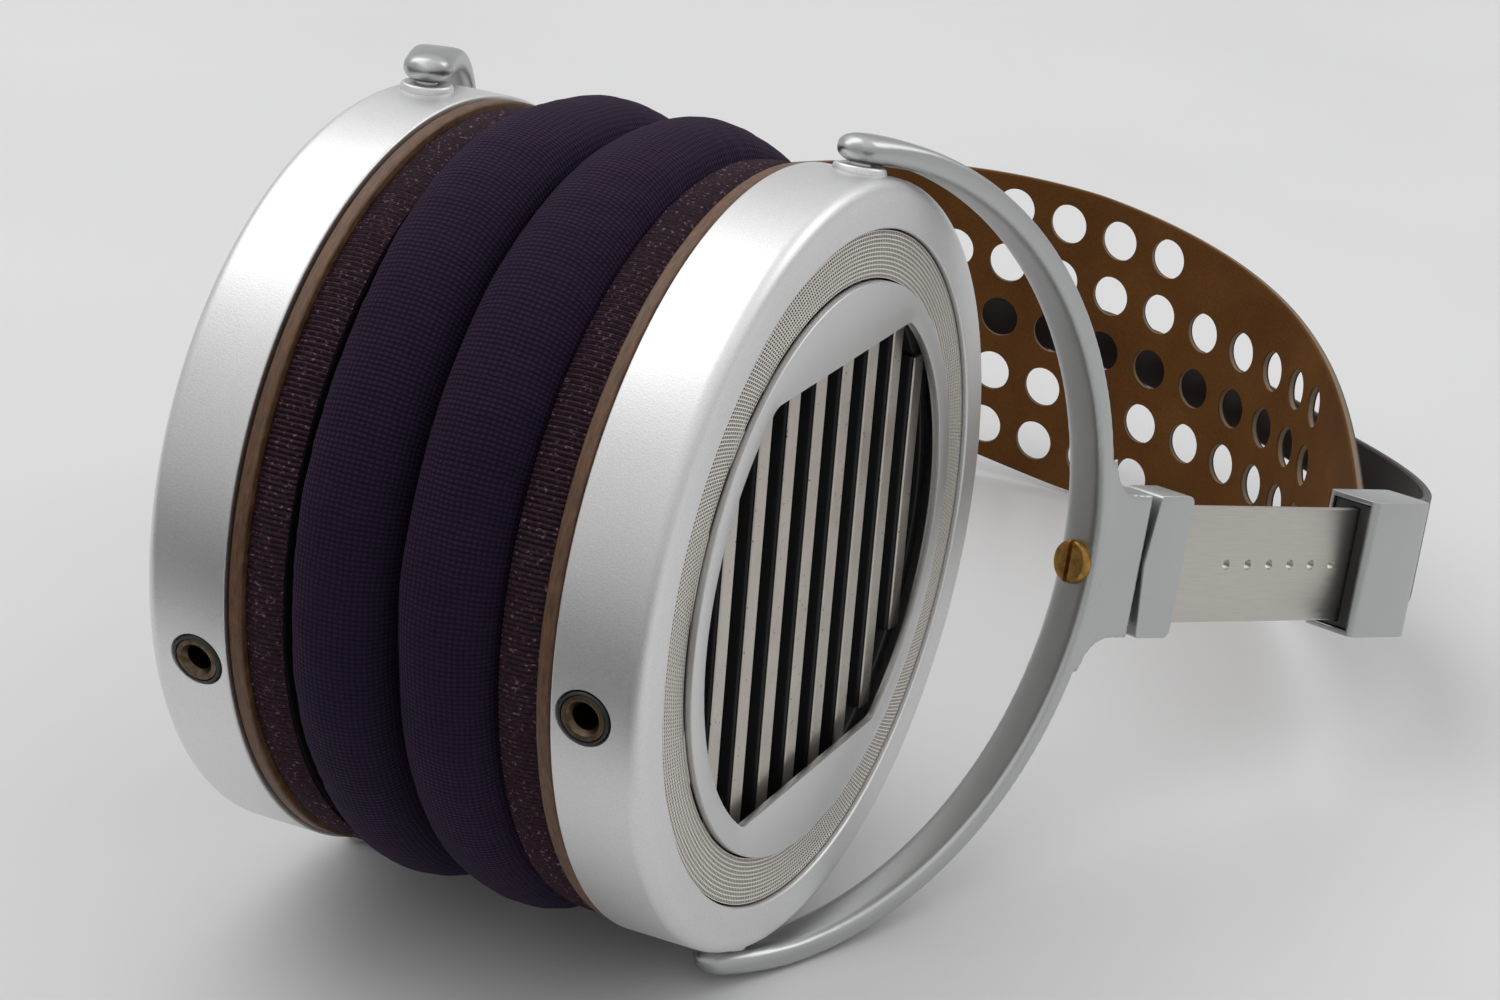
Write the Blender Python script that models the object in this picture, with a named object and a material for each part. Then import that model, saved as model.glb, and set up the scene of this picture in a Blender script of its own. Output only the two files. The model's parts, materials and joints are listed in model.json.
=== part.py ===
"""Over-ear planar headphones, lying on their side as they are put down on a table.

Frames used below, all in metres:
  cup frame   origin on the cup's tilt axis, +X outward from the head, +Y up to the headband,
              +Z along the tilt axis. The cup is turned about X.
  stem frame  origin on the tilt axis too, +Y along the stem towards the headband, +X outward.
  side frame  origin midway between the cups on the tilt axes' level, +X outward, +Y up.
The left side is the right one mirrored in X. The lying headset leans on its lower yoke ends and
on the edge of its strap, so its band is a little twisted and its crown is low.
"""

import math

import bmesh
import bpy
from mathutils import Euler, Matrix, Vector

SEGMENTS = 40
SMALL_SEGMENTS = 16
GAP = 0.0003

# Cup, measured from the ring's inner edge outward
RING_RADIUS = 0.0532
RING_BORE = 0.0502
RING_WALL = 0.0098
RING_FILLET = 0.0027
RING_DEPTH = RING_WALL + RING_FILLET
PIN_INSET = 0.0069
CUP_SPACING = 0.048
LIP_RADIUS = 0.0466
LIP_THICKNESS = 0.0016
MESH_THICKNESS = 0.0009
PLATE_RADIUS = 0.0396
PLATE_FRONT = 0.0129
PLATE_FLANGE = 0.0007
WINDOW_RADIUS = 0.035
WINDOW_HALF_HEIGHT = 0.0293
DRIVER_SLANT = math.radians(13.0)
BAR_PITCH = 0.0082
BAR_WIDTH = 0.0042
BAR_DEPTH = 0.0034
BARS_RADIUS = 0.0375
SLOTS_RADIUS = 0.0352
OUTER_BARS_BACK = 0.006
FRAME_BORE, FRAME_RADIUS = 0.0365, 0.042
FRAME_BACK, FRAME_FRONT = 0.003, 0.0057
FILM_BACK, FILM_FRONT = 0.0023, 0.0026
FILM_RADIUS = 0.0415
INNER_BARS_BACK = -0.0014
VENEER_BORE, VENEER_RADIUS = 0.046, 0.0527
VENEER_THICKNESS = 0.002
BAFFLE_BORE = 0.0378
BAND_BORE, BAND_RADIUS = 0.044, 0.0519
BAND_WIDTH = 0.0055
PAD_BORE, PAD_RADIUS = 0.0330, 0.0543

# Jack socket in the lower rim
JACK_OFFSET = 0.0047
JACK_ANGLE = math.radians(196.6)
JACK_HOLE, JACK_RADIUS = 0.00395, 0.0036
JACK_DEEP = 0.043
SLEEVE_HOLE, SLEEVE_RADIUS, SLEEVE_BORE = 0.0029, 0.0026, 0.00178
LEAD_RADIUS, LEAD_TRACK = 0.0006, 0.0462

# Yoke, stem and slider
SPLAY = math.radians(23.5)
YOKE_APEX, YOKE_REACH = 0.0583, 0.0565
YOKE_WIDTH, YOKE_THICKNESS = 0.007, 0.0034
YOKE_STEPS = 26
STEM_HALF_WIDTH = 0.0108
STEM_HALF_DEPTH = 0.0035
FLANGE_END = 0.0677
STEM_START, STEM_END = 0.068, 0.0765
STEM_CROWN = 0.0012
SCREW_HEAD, SCREW_SHANK = 0.0032, 0.0015
SCREW_HOLE = 0.0019
PLATE_START, PLATE_END = 0.0712, 0.125
PLATE_HALF_WIDTH = 0.0089
PLATE_MIDDLE, PLATE_THICKNESS = 0.0013, 0.0012
DETENTS, DETENT_PITCH, FIRST_DETENT, DETENT_RADIUS = 6, 0.005, 0.0883, 0.0008
BLOCK_START, BLOCK_END = 0.117, 0.1315
BLOCK_IN, BLOCK_OUT = -0.004, 0.0055
LINER_IN, LINER_OUT, LINER_HALF_WIDTH = -0.0006, 0.0043, 0.0098

# Tilt pivots
BOSS_RADIUS, BOSS_TOP = 0.0038, 0.0546
PIVOT_RADIUS, PIVOT_TOP = 0.0015, 0.0573

# Headband
ARCH_MIDDLE, ARCH_THICKNESS = -0.0024, 0.0014
ARCH_HALF_WIDTH, ARCH_CROWN_HALF = 0.0095, 0.0052
ARCH_CROWN = 0.203
STRAP_MIDDLE, STRAP_THICKNESS = -0.0051, 0.0014
STRAP_END_HALF, STRAP_CROWN_HALF = 0.0102, 0.0275
STRAP_CROWN = 0.194
BAND_TWIST = math.radians(4.25)
LYING_TILT = math.radians(8.95)

SIDES = {"right": 1, "left": -1}


def material(name, colour, roughness, metallic):
    made = bpy.data.materials.new(name)
    made.use_nodes = True
    shader = made.node_tree.nodes["Principled BSDF"]
    shader.inputs["Base Color"].default_value = (*colour, 1)
    shader.inputs["Roughness"].default_value = roughness
    shader.inputs["Metallic"].default_value = metallic
    return made


def clear_scene():
    for obj in list(bpy.data.objects):
        bpy.data.objects.remove(obj, do_unlink=True)


def empty(name, parent=None, place=(0, 0, 0), turn=(0, 0, 0)):
    made = bpy.data.objects.new(name, None)
    bpy.context.scene.collection.objects.link(made)
    made.parent = parent
    made.location = place
    made.rotation_euler = Euler(turn)
    return made


def solid(name, bm, parent, side, finish=None):
    """Makes the object of a mesh drawn for the right side, mirrored in X for the left one."""
    if side < 0:
        bmesh.ops.scale(bm, vec=(-1, 1, 1), verts=bm.verts)
    bmesh.ops.recalc_face_normals(bm, faces=bm.faces)
    mesh = bpy.data.meshes.new(name)
    bm.to_mesh(mesh)
    bm.free()
    mesh.shade_smooth()
    mesh.set_sharp_from_angle(angle=math.radians(35))
    made = bpy.data.objects.new(name, mesh)
    bpy.context.scene.collection.objects.link(made)
    made.parent = parent
    if finish:
        mesh.materials.append(finish)
    return made


def boolean(obj, name, bm, side, operation="DIFFERENCE"):
    helper = solid(obj.name + "_" + name, bm, obj.parent, side)
    helper.hide_render = True
    helper.display_type = "WIRE"
    step = obj.modifiers.new(name, "BOOLEAN")
    step.operation = operation
    step.object = helper


def turned(profile, segments=SEGMENTS, axis="X"):
    """Turns a closed profile of (along, radius) points about the axis."""
    bm = bmesh.new()
    rings = []
    for along, radius in profile:
        if radius == 0:
            rings.append([bm.verts.new((along, 0, 0))])
            continue
        rings.append([
            bm.verts.new((along, radius * math.cos(a), radius * math.sin(a)))
            for a in (2 * math.pi * i / segments for i in range(segments))
        ])
    for first, second in zip(rings, rings[1:] + rings[:1]):
        if len(first) == len(second) == 1:
            continue
        for i in range(segments):
            j = (i + 1) % segments
            corners = [first[i % len(first)], first[j % len(first)], second[j % len(second)], second[i % len(second)]]
            bm.faces.new(list(dict.fromkeys(corners)))
    if axis == "Y":
        bm.transform(Matrix.Rotation(math.pi / 2, 4, "Z"))
    if axis == "Z":
        bm.transform(Matrix.Rotation(-math.pi / 2, 4, "Y"))
    return bm


def ring_between(start, end, bore, radius):
    return [(start, bore), (start, radius), (end, radius), (end, bore)]


def box(x, y, z):
    bm = bmesh.new()
    bmesh.ops.create_cube(bm, size=1)
    size = Vector((x[1] - x[0], y[1] - y[0], z[1] - z[0]))
    middle = Vector((sum(x), sum(y), sum(z))) / 2
    bmesh.ops.scale(bm, vec=size, verts=bm.verts)
    bmesh.ops.translate(bm, vec=middle, verts=bm.verts)
    return bm


def prism(outline, x):
    """Extrudes an outline of (y, z) points between the two x values."""
    bm = bmesh.new()
    first, second = ([bm.verts.new((at, y, z)) for y, z in outline] for at in x)
    bm.faces.new(first)
    bm.faces.new(second)
    for i in range(len(outline)):
        j = (i + 1) % len(outline)
        bm.faces.new((first[i], first[j], second[j], second[i]))
    return bm


def rod(radius, start, end, axis, segments=SMALL_SEGMENTS):
    return turned([(start, 0), (start, radius), (end, radius), (end, 0)], segments, axis)


def window_outline():
    """A circle cut off by two parallel lines, the whole turned by the slant."""
    corner = math.asin(WINDOW_HALF_HEIGHT / WINDOW_RADIUS)
    steps = 8
    points = []
    for start in (-corner, math.pi - corner):
        for i in range(steps + 1):
            a = start + 2 * corner * i / steps + DRIVER_SLANT
            points.append((WINDOW_RADIUS * math.cos(a), WINDOW_RADIUS * math.sin(a)))
    return points


def bar_slots(start):
    """The gaps between the magnet bars, as separate boxes in one cutter, at right angles to the window."""
    bm = bmesh.new()
    count = 8
    for i in range(count):
        middle = (i - (count - 1) / 2) * BAR_PITCH
        half = (BAR_PITCH - BAR_WIDTH) / 2
        reach = math.sqrt(SLOTS_RADIUS ** 2 - (abs(middle) + half) ** 2)
        slot = box((start - 0.001, start + BAR_DEPTH + 0.001), (middle - half, middle + half), (-reach, reach))
        scratch = bpy.data.meshes.new("slot")
        slot.to_mesh(scratch)
        slot.free()
        bm.from_mesh(scratch)
        bpy.data.meshes.remove(scratch)
    bm.transform(Matrix.Rotation(DRIVER_SLANT, 4, "X"))
    return bm


def build_cup(label, side, cup, paint):
    """Everything that tilts with the cup, from the grille to the ear pad."""
    back = -PIN_INSET

    def shifted(profile):
        return [(back + along, radius) for along, radius in profile]

    fillet = [
        (RING_WALL + RING_FILLET * math.sin(a), RING_RADIUS - RING_FILLET + RING_FILLET * math.cos(a))
        for a in (math.radians(30 * i) for i in range(4))
    ]
    ring = solid(label + "_cup_ring", turned(shifted(
        [(0, RING_BORE), (0, RING_RADIUS)] + fillet + [
            (RING_DEPTH, LIP_RADIUS), (RING_DEPTH - LIP_THICKNESS, LIP_RADIUS),
            (RING_DEPTH - LIP_THICKNESS, RING_BORE)])), cup, side, paint["aluminium"])
    jack_turn = Matrix.Translation((back + JACK_OFFSET, 0, 0)) @ Matrix.Rotation(JACK_ANGLE, 4, "X")
    hole = rod(JACK_HOLE, RING_BORE - 0.002, RING_RADIUS + 0.002, "Y")
    hole.transform(jack_turn)
    boolean(ring, "jack_hole", hole, side)

    mesh_back = RING_DEPTH - LIP_THICKNESS + 0.0001
    solid(label + "_mesh_annulus", turned(shifted(ring_between(
        mesh_back, mesh_back + MESH_THICKNESS, PLATE_RADIUS + GAP, LIP_RADIUS - GAP))), cup, side, paint["mesh"])
    flange_front = RING_DEPTH - LIP_THICKNESS - GAP
    flange_back = flange_front - PLATE_FLANGE
    plate = solid(label + "_grille_plate", turned(shifted([
        (flange_back, 0), (flange_back, RING_BORE - GAP), (flange_front, RING_BORE - GAP),
        (flange_front, PLATE_RADIUS), (PLATE_FRONT, PLATE_RADIUS), (PLATE_FRONT, 0)])), cup, side, paint["aluminium"])
    boolean(plate, "window", prism(window_outline(), (back, back + 0.02)), side)

    for name, start in (("outer_magnets", OUTER_BARS_BACK), ("inner_magnets", INNER_BARS_BACK)):
        bars = solid(label + "_" + name, turned(shifted(
            [(start, 0), (start, BARS_RADIUS), (start + BAR_DEPTH, BARS_RADIUS), (start + BAR_DEPTH, 0)]
        )), cup, side, paint["magnet"])
        boolean(bars, "slots", bar_slots(back + start), side)
    solid(label + "_driver_frame", turned(shifted(ring_between(
        FRAME_BACK, FRAME_FRONT, FRAME_BORE, FRAME_RADIUS))), cup, side, paint["black"])
    solid(label + "_diaphragm", turned(shifted(
        [(FILM_BACK, 0), (FILM_BACK, FILM_RADIUS), (FILM_FRONT, FILM_RADIUS), (FILM_FRONT, 0)])), cup, side, paint["film"])
    veneer_back = -GAP - VENEER_THICKNESS
    solid(label + "_veneer_ring", turned(shifted(ring_between(
        veneer_back, -GAP, VENEER_BORE, VENEER_RADIUS))), cup, side, paint["veneer"])
    solid(label + "_baffle", turned(shifted(ring_between(
        veneer_back, -GAP, BAFFLE_BORE, VENEER_BORE - GAP))), cup, side, paint["black"])

    band_front = veneer_back - GAP
    band_back = band_front - BAND_WIDTH
    solid(label + "_pad_band", turned(shifted([
        (band_back, BAND_BORE), (band_back, BAND_RADIUS - 0.0006), ((band_back + band_front) / 2, BAND_RADIUS),
        (band_front, BAND_RADIUS - 0.0002), (band_front, BAND_BORE)])), cup, side, paint["band"])
    pad_back = band_back - GAP
    pad_face = GAP - CUP_SPACING / 2
    pad_middle = (pad_back + pad_face) / 2
    half_depth = (pad_back - pad_face) / 2
    half_width = (PAD_RADIUS - PAD_BORE) / 2
    pad = []
    for i in range(10):
        a = 2 * math.pi * (i + 0.5) / 10
        # a squared circle: flatter faces than an ellipse, with round shoulders
        bulge = (abs(math.cos(a)) ** 4 + abs(math.sin(a)) ** 4) ** -0.25
        pad.append((pad_middle + half_depth * min(1, bulge * abs(math.cos(a))) * math.copysign(1, math.cos(a)),
                    (PAD_RADIUS + PAD_BORE) / 2 + half_width * bulge * math.sin(a)))
    solid(label + "_ear_pad", turned(shifted(pad)), cup, side, paint["pad"])

    housing = turned([(JACK_DEEP, SLEEVE_HOLE), (JACK_DEEP, JACK_RADIUS), (RING_RADIUS, JACK_RADIUS),
                      (RING_RADIUS, SLEEVE_HOLE)], SMALL_SEGMENTS, "Y")
    housing.transform(jack_turn)
    solid(label + "_jack_housing", housing, cup, side, paint["black"])
    sleeve_end = RING_RADIUS + 0.0001
    floor = JACK_DEEP + 0.0015
    sleeve = turned([(JACK_DEEP, 0), (JACK_DEEP, SLEEVE_RADIUS), (sleeve_end, SLEEVE_RADIUS),
                     (sleeve_end, SLEEVE_BORE), (floor, SLEEVE_BORE), (floor, 0)], SMALL_SEGMENTS, "Y")
    sleeve.transform(jack_turn)
    solid(label + "_jack_sleeve", sleeve, cup, side, paint["brass"])
    build_lead(label, side, cup, paint)

    for end, sign in (("upper", 1), ("lower", -1)):
        boss = turned([(RING_RADIUS + GAP, 0), (RING_RADIUS + GAP, BOSS_RADIUS), (BOSS_TOP, BOSS_RADIUS - 0.0004),
                       (BOSS_TOP, PIVOT_RADIUS), (PIVOT_TOP, PIVOT_RADIUS), (PIVOT_TOP, 0)], SMALL_SEGMENTS, "Z")
        bmesh.ops.scale(boss, vec=(1, 1, sign), verts=boss.verts)
        solid(label + "_" + end + "_pivot", boss, cup, side, paint["aluminium"])


def build_lead(label, side, cup, paint):
    """The wire from the jack to the driver, round the space beside the driver frame."""
    curve = bpy.data.curves.new(label + "_driver_lead", "CURVE")
    curve.dimensions = "3D"
    curve.bevel_depth = LEAD_RADIUS
    curve.bevel_resolution = 2
    curve.use_fill_caps = True
    steps = 12
    line = curve.splines.new("POLY")
    line.points.add(steps)
    start = JACK_ANGLE + (JACK_RADIUS + LEAD_RADIUS + GAP) / LEAD_TRACK
    for i in range(steps + 1):
        share = i / steps
        a = start + math.radians(40) * share
        radius = LEAD_TRACK - (LEAD_TRACK - FRAME_RADIUS - LEAD_RADIUS - GAP) * share ** 3
        line.points[i].co = (side * (JACK_OFFSET - PIN_INSET), radius * math.cos(a), radius * math.sin(a), 1)
    made = bpy.data.objects.new(label + "_driver_lead", curve)
    bpy.context.scene.collection.objects.link(made)
    made.parent = cup
    curve.materials.append(paint["black"])


def yoke_arms():
    """A flat rounded bar bent round the cup, with domed ends on the tilt axis."""
    bm = bmesh.new()
    sweep = math.radians(94)
    rings = []
    for i in range(YOKE_STEPS + 1):
        a = -sweep + 2 * sweep * i / YOKE_STEPS
        centre = Vector((0, YOKE_APEX * math.cos(a), YOKE_REACH * math.sin(a)))
        outward = Vector((0, math.cos(a) / YOKE_APEX, math.sin(a) / YOKE_REACH)).normalized()
        from_end = min(i, YOKE_STEPS - i)
        size = 0.55 if from_end == 0 else 1
        rings.append([
            bm.verts.new(centre
                         + Vector((1, 0, 0)) * (YOKE_WIDTH / 2 * size * math.cos(b))
                         + outward * (YOKE_THICKNESS / 2 * size * math.copysign(abs(math.sin(b)) ** 0.7, math.sin(b))))
            for b in (math.radians(45 * k + 22.5) for k in range(8))
        ])
    for first, second in zip(rings, rings[1:]):
        for k in range(8):
            bm.faces.new((first[k], first[(k + 1) % 8], second[(k + 1) % 8], second[k]))
    bm.faces.new(rings[0])
    bm.faces.new(rings[-1])
    return bm


def yoke_flange_outline():
    """Half of the flange that the arms flow into, then its mirror image."""
    fillet_radius = 0.0055
    middle = (YOKE_APEX + 0.0058, STEM_HALF_WIDTH + fillet_radius)
    half = [(FLANGE_END, STEM_HALF_WIDTH)]
    for i in range(5):
        a = math.radians(22.5 * i)
        half.append((middle[0] - fillet_radius * math.sin(a), middle[1] - fillet_radius * math.cos(a)))
    half.append((YOKE_APEX - 0.0008, STEM_HALF_WIDTH + 0.0035))
    half.append((YOKE_APEX - 0.0002, 0.004))
    return half + [(y, -z) for y, z in reversed(half)]


def build_stem(label, side, yoke_frame, stem_frame, slider_frame, block_frame, paint):
    yoke = solid(label + "_yoke", yoke_arms(), yoke_frame, side, paint["aluminium"])
    boolean(yoke, "flange", prism(yoke_flange_outline(), (-STEM_HALF_DEPTH + 0.0004, STEM_HALF_DEPTH - 0.0004)),
            side, "UNION")
    for end, sign in (("upper", 1), ("lower", -1)):
        low, high = YOKE_REACH - 0.004, PIVOT_TOP + GAP
        boolean(yoke, end + "_hole", rod(SCREW_HOLE, min(sign * low, sign * high), max(sign * low, sign * high), "Z"), side)
    boolean(yoke, "swivel_hole", rod(SCREW_HOLE, YOKE_APEX - 0.006, STEM_START + 0.002, "Y"), side)

    head_top = YOKE_APEX - YOKE_THICKNESS / 2 - GAP
    screw = turned([(head_top - 0.0013, 0), (head_top - 0.0013, SCREW_HEAD - 0.0005), (head_top, SCREW_HEAD),
                    (head_top, SCREW_SHANK), (PLATE_START - 0.0008, SCREW_SHANK), (PLATE_START - 0.0008, 0)],
                   SMALL_SEGMENTS, "Y")
    slotted = solid(label + "_swivel_screw", screw, yoke_frame, side, paint["brass"])
    boolean(slotted, "slot", box((-0.0004, 0.0004), (head_top - 0.002, head_top - 0.0007), (-0.004, 0.004)), side)

    outline = [(STEM_START, 0), (STEM_START + STEM_CROWN, STEM_HALF_WIDTH), (STEM_END, STEM_HALF_WIDTH),
               (STEM_END, -STEM_HALF_WIDTH), (STEM_START + STEM_CROWN, -STEM_HALF_WIDTH)]
    stem = solid(label + "_stem_block", prism(outline, (-STEM_HALF_DEPTH, STEM_HALF_DEPTH)), stem_frame, side,
                 paint["aluminium"])
    plate_x = (PLATE_MIDDLE - PLATE_THICKNESS / 2, PLATE_MIDDLE + PLATE_THICKNESS / 2)
    slot_x = (plate_x[0] - GAP, plate_x[1] + GAP)
    boolean(stem, "plate_slot", box(slot_x, (PLATE_START - GAP, STEM_END + 0.01),
                                    (-PLATE_HALF_WIDTH - GAP, PLATE_HALF_WIDTH + GAP)), side)
    boolean(stem, "screw_hole", rod(SCREW_HOLE, STEM_START - 0.002, PLATE_START - 0.0004, "Y"), side)

    plate = solid(label + "_slider_plate", box(plate_x, (PLATE_START, PLATE_END), (-PLATE_HALF_WIDTH, PLATE_HALF_WIDTH)),
                  slider_frame, side, paint["steel"])
    for i in range(DETENTS):
        hole = rod(DETENT_RADIUS, plate_x[0] - 0.001, plate_x[1] + 0.001, "X", 8)
        bmesh.ops.translate(hole, vec=(0, FIRST_DETENT + i * DETENT_PITCH, 0), verts=hole.verts)
        boolean(plate, "detent_%d" % (i + 1), hole, side)

    block = solid(label + "_end_block", box((BLOCK_IN, BLOCK_OUT), (BLOCK_START, BLOCK_END),
                                            (-STEM_HALF_WIDTH, STEM_HALF_WIDTH)), block_frame, side, paint["aluminium"])
    through = (BLOCK_START - 0.002, BLOCK_END + 0.002)
    boolean(block, "liner_slot", box((LINER_IN - GAP, LINER_OUT + GAP), through,
                                     (-LINER_HALF_WIDTH - GAP, LINER_HALF_WIDTH + GAP)), side)
    arch_x = (ARCH_MIDDLE - ARCH_THICKNESS / 2 - GAP, ARCH_MIDDLE + ARCH_THICKNESS / 2 + GAP)
    boolean(block, "arch_slot", box(arch_x, (BLOCK_END - 0.006, BLOCK_END + 0.002),
                                    (-ARCH_HALF_WIDTH - 0.0005, ARCH_HALF_WIDTH + 0.0005)), side)
    liner = solid(label + "_slot_liner", box((LINER_IN, LINER_OUT), (BLOCK_START + GAP, BLOCK_END - GAP),
                                             (-LINER_HALF_WIDTH, LINER_HALF_WIDTH)), block_frame, side, paint["black"])
    boolean(liner, "plate_slot", box(slot_x, through, (-PLATE_HALF_WIDTH - GAP, PLATE_HALF_WIDTH + GAP)), side)


def bezier(points, t):
    a, b, c, d = (Vector(p) for p in points)
    s = 1 - t
    return a * s ** 3 + b * (3 * s * s * t) + c * (3 * s * t * t) + d * t ** 3


def stem_point(along, out, side):
    """A point of the stem frame's middle plane, in the headband's frame."""
    x = CUP_SPACING / 2 + PIN_INSET + along * math.sin(SPLAY) + out * math.cos(SPLAY)
    y = along * math.cos(SPLAY) - out * math.sin(SPLAY)
    return Vector((side * x, y * math.cos(BAND_TWIST), -side * y * math.sin(BAND_TWIST)))


def band_path(lead_in, corner, shoulder, crown, steps):
    """(place, width direction, share of the way to the crown) from the right end to the left one."""
    end = stem_point(*lead_in[-1], 1)
    half = [(stem_point(*p, 1), 0.0) for p in lead_in[:-1]]
    for i in range(steps + 1):
        t = i / steps
        flat = bezier([(end.x, end.y), corner, (shoulder, crown), (0, crown)], t)
        half.append((Vector((flat.x, flat.y, end.z * flat.x / end.x)), t))
    path = []
    for mirror, run in ((1, half), (-1, reversed(half[:-1]))):
        for place, share in run:
            lean = BAND_TWIST * mirror * (1 - share)
            at = Vector((mirror * place.x, place.y, mirror * place.z))
            path.append((at, Vector((0, math.sin(lean), math.cos(lean))), share))
    return path


def strip(path, thickness, half_width):
    """A flat band lofted along a path, half_width(share) to each side of it."""
    bm = bmesh.new()
    rings = []
    for i, (place, across, share) in enumerate(path):
        ahead = path[min(i + 1, len(path) - 1)][0] - path[max(i - 1, 0)][0]
        through = ahead.cross(across).normalized() * (thickness / 2)
        wide = across * half_width(share)
        rings.append([bm.verts.new(place + u * wide + v * through) for u, v in ((-1, -1), (1, -1), (1, 1), (-1, 1))])
    for first, second in zip(rings, rings[1:]):
        for k in range(4):
            bm.faces.new((first[k], first[(k + 1) % 4], second[(k + 1) % 4], second[k]))
    bm.faces.new(rings[0])
    bm.faces.new(rings[-1])
    return bm


def build_headband(headset, paint):
    arch = band_path([(BLOCK_END - 0.005, ARCH_MIDDLE), (0.137, ARCH_MIDDLE)],
                     (0.0873, 0.1586), 0.0325, ARCH_CROWN, 14)

    def arch_half(share):
        return ARCH_HALF_WIDTH + (ARCH_CROWN_HALF - ARCH_HALF_WIDTH) * min(1, 2.2 * share)

    solid("arch", strip(arch, ARCH_THICKNESS, arch_half), headset, 1, paint["arch"])
    strap = band_path([(0.1195, STRAP_MIDDLE), (0.126, STRAP_MIDDLE)],
                      (0.056, 0.1704), 0.0398, STRAP_CROWN, 14)

    def strap_half(share):
        return STRAP_END_HALF + (STRAP_CROWN_HALF - STRAP_END_HALF) * (1 - (1 - share) ** 1.52)

    solid("strap", strip(strap, STRAP_THICKNESS, strap_half), headset, 1, paint["strap"])


def stand_on_floor(headset):
    """Puts the lowest point at z = 0 and the middle of the plan on the origin."""
    bpy.context.view_layer.update()
    graph = bpy.context.evaluated_depsgraph_get()
    low, high = Vector((1, 1, 1)), Vector((-1, -1, -1))
    for obj in bpy.context.scene.objects:
        if obj.type == "EMPTY" or obj.hide_render:
            continue
        evaluated = obj.evaluated_get(graph)
        mesh = evaluated.to_mesh()
        for vertex in mesh.vertices:
            place = evaluated.matrix_world @ vertex.co
            low = Vector(map(min, low, place))
            high = Vector(map(max, high, place))
        evaluated.to_mesh_clear()
    headset.location -= Vector(((low.x + high.x) / 2, (low.y + high.y) / 2, low.z))


def main():
    clear_scene()
    paint = {
        "aluminium": material("beadblasted_aluminium", (0.62, 0.62, 0.63), 0.42, 1.0),
        "mesh": material("perforated_steel", (0.37, 0.34, 0.31), 0.5, 0.8),
        "magnet": material("coated_magnet_bars", (0.42, 0.40, 0.35), 0.45, 0.3),
        "black": material("black_plastic", (0.02, 0.02, 0.02), 0.5, 0.0),
        "film": material("diaphragm_film", (0.55, 0.5, 0.4), 0.3, 0.4),
        "veneer": material("wood_veneer", (0.12, 0.07, 0.045), 0.5, 0.0),
        "band": material("burgundy_elastic", (0.035, 0.012, 0.025), 0.8, 0.0),
        "pad": material("purple_knit", (0.035, 0.018, 0.055), 0.9, 0.0),
        "brass": material("brass", (0.45, 0.28, 0.10), 0.3, 1.0),
        "steel": material("slider_steel", (0.42, 0.40, 0.36), 0.4, 1.0),
        "arch": material("dark_spring_band", (0.02, 0.013, 0.01), 0.5, 0.2),
        "strap": material("brown_leather", (0.12, 0.055, 0.02), 0.75, 0.0),
    }
    headset = empty("headset", turn=(-LYING_TILT, 0, 0))
    for label, side in SIDES.items():
        half = empty(label + "_half", headset, turn=(-side * BAND_TWIST, 0, 0))
        pivot = (side * (CUP_SPACING / 2 + PIN_INSET), 0, 0)
        stem = empty(label + "_stem_axis", half, pivot, (0, 0, -side * SPLAY))
        yoke = empty(label + "_swivel_axis", stem)
        cup = empty(label + "_tilt_axis", half, pivot)
        build_cup(label, side, cup, paint)
        build_stem(label, side, yoke, stem, stem, stem, paint)
    build_headband(headset, paint)
    stand_on_floor(headset)


main()
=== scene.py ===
# %% [markdown]
# # Over-ear headphones, lying on a table
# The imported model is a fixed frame: every piece below is drawn round it, in metres, and rides on
# one of its bodies. A round piece is drawn in its own simple frame first (out of the cup, up to
# the headband, along the tilt axis) and is then carried to its place by one matrix.

# %% Load the frame
import json
import math

import bmesh
import bpy
import numpy as np
from mathutils import Matrix, Vector, noise


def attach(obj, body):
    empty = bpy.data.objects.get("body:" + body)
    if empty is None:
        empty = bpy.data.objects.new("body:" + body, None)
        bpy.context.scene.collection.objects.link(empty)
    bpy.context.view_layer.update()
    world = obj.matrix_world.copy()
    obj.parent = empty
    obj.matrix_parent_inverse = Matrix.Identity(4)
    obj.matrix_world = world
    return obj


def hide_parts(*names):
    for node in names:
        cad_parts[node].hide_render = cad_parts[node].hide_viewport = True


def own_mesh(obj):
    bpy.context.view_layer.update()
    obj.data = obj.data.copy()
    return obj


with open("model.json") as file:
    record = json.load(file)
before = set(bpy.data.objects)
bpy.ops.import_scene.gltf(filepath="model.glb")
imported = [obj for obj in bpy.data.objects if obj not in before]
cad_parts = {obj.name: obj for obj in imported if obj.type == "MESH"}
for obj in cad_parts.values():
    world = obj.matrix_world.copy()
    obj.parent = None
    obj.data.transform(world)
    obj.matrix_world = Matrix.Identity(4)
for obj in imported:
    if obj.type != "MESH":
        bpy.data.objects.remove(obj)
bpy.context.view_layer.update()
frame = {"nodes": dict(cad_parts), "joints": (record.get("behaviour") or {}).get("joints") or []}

JOINTS = {joint["name"]: joint for joint in frame["joints"]}
print("nodes:", len(frame["nodes"]), "joints:", len(JOINTS))

# %% [markdown]
# ## Where things are
# Each half of the headset has two frames with the same origin, the middle of the tilt axis. In
# both, x points out of the cup and z runs along the tilt axis. The cup frame's y points across
# the cup to the headband, and the stem frame's y follows the slider. The left half is the right
# one mirrored, so its matrices mirror too, and the normals are put right afterwards.

# %% The frames of the two halves
PIN_INSET = 0.0069        # from the ring's inner edge out to the tilt axis


def frame_matrix(origin, x, y, z):
    made = Matrix((x, y, z)).transposed().to_4x4()
    made.translation = origin
    return made


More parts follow.
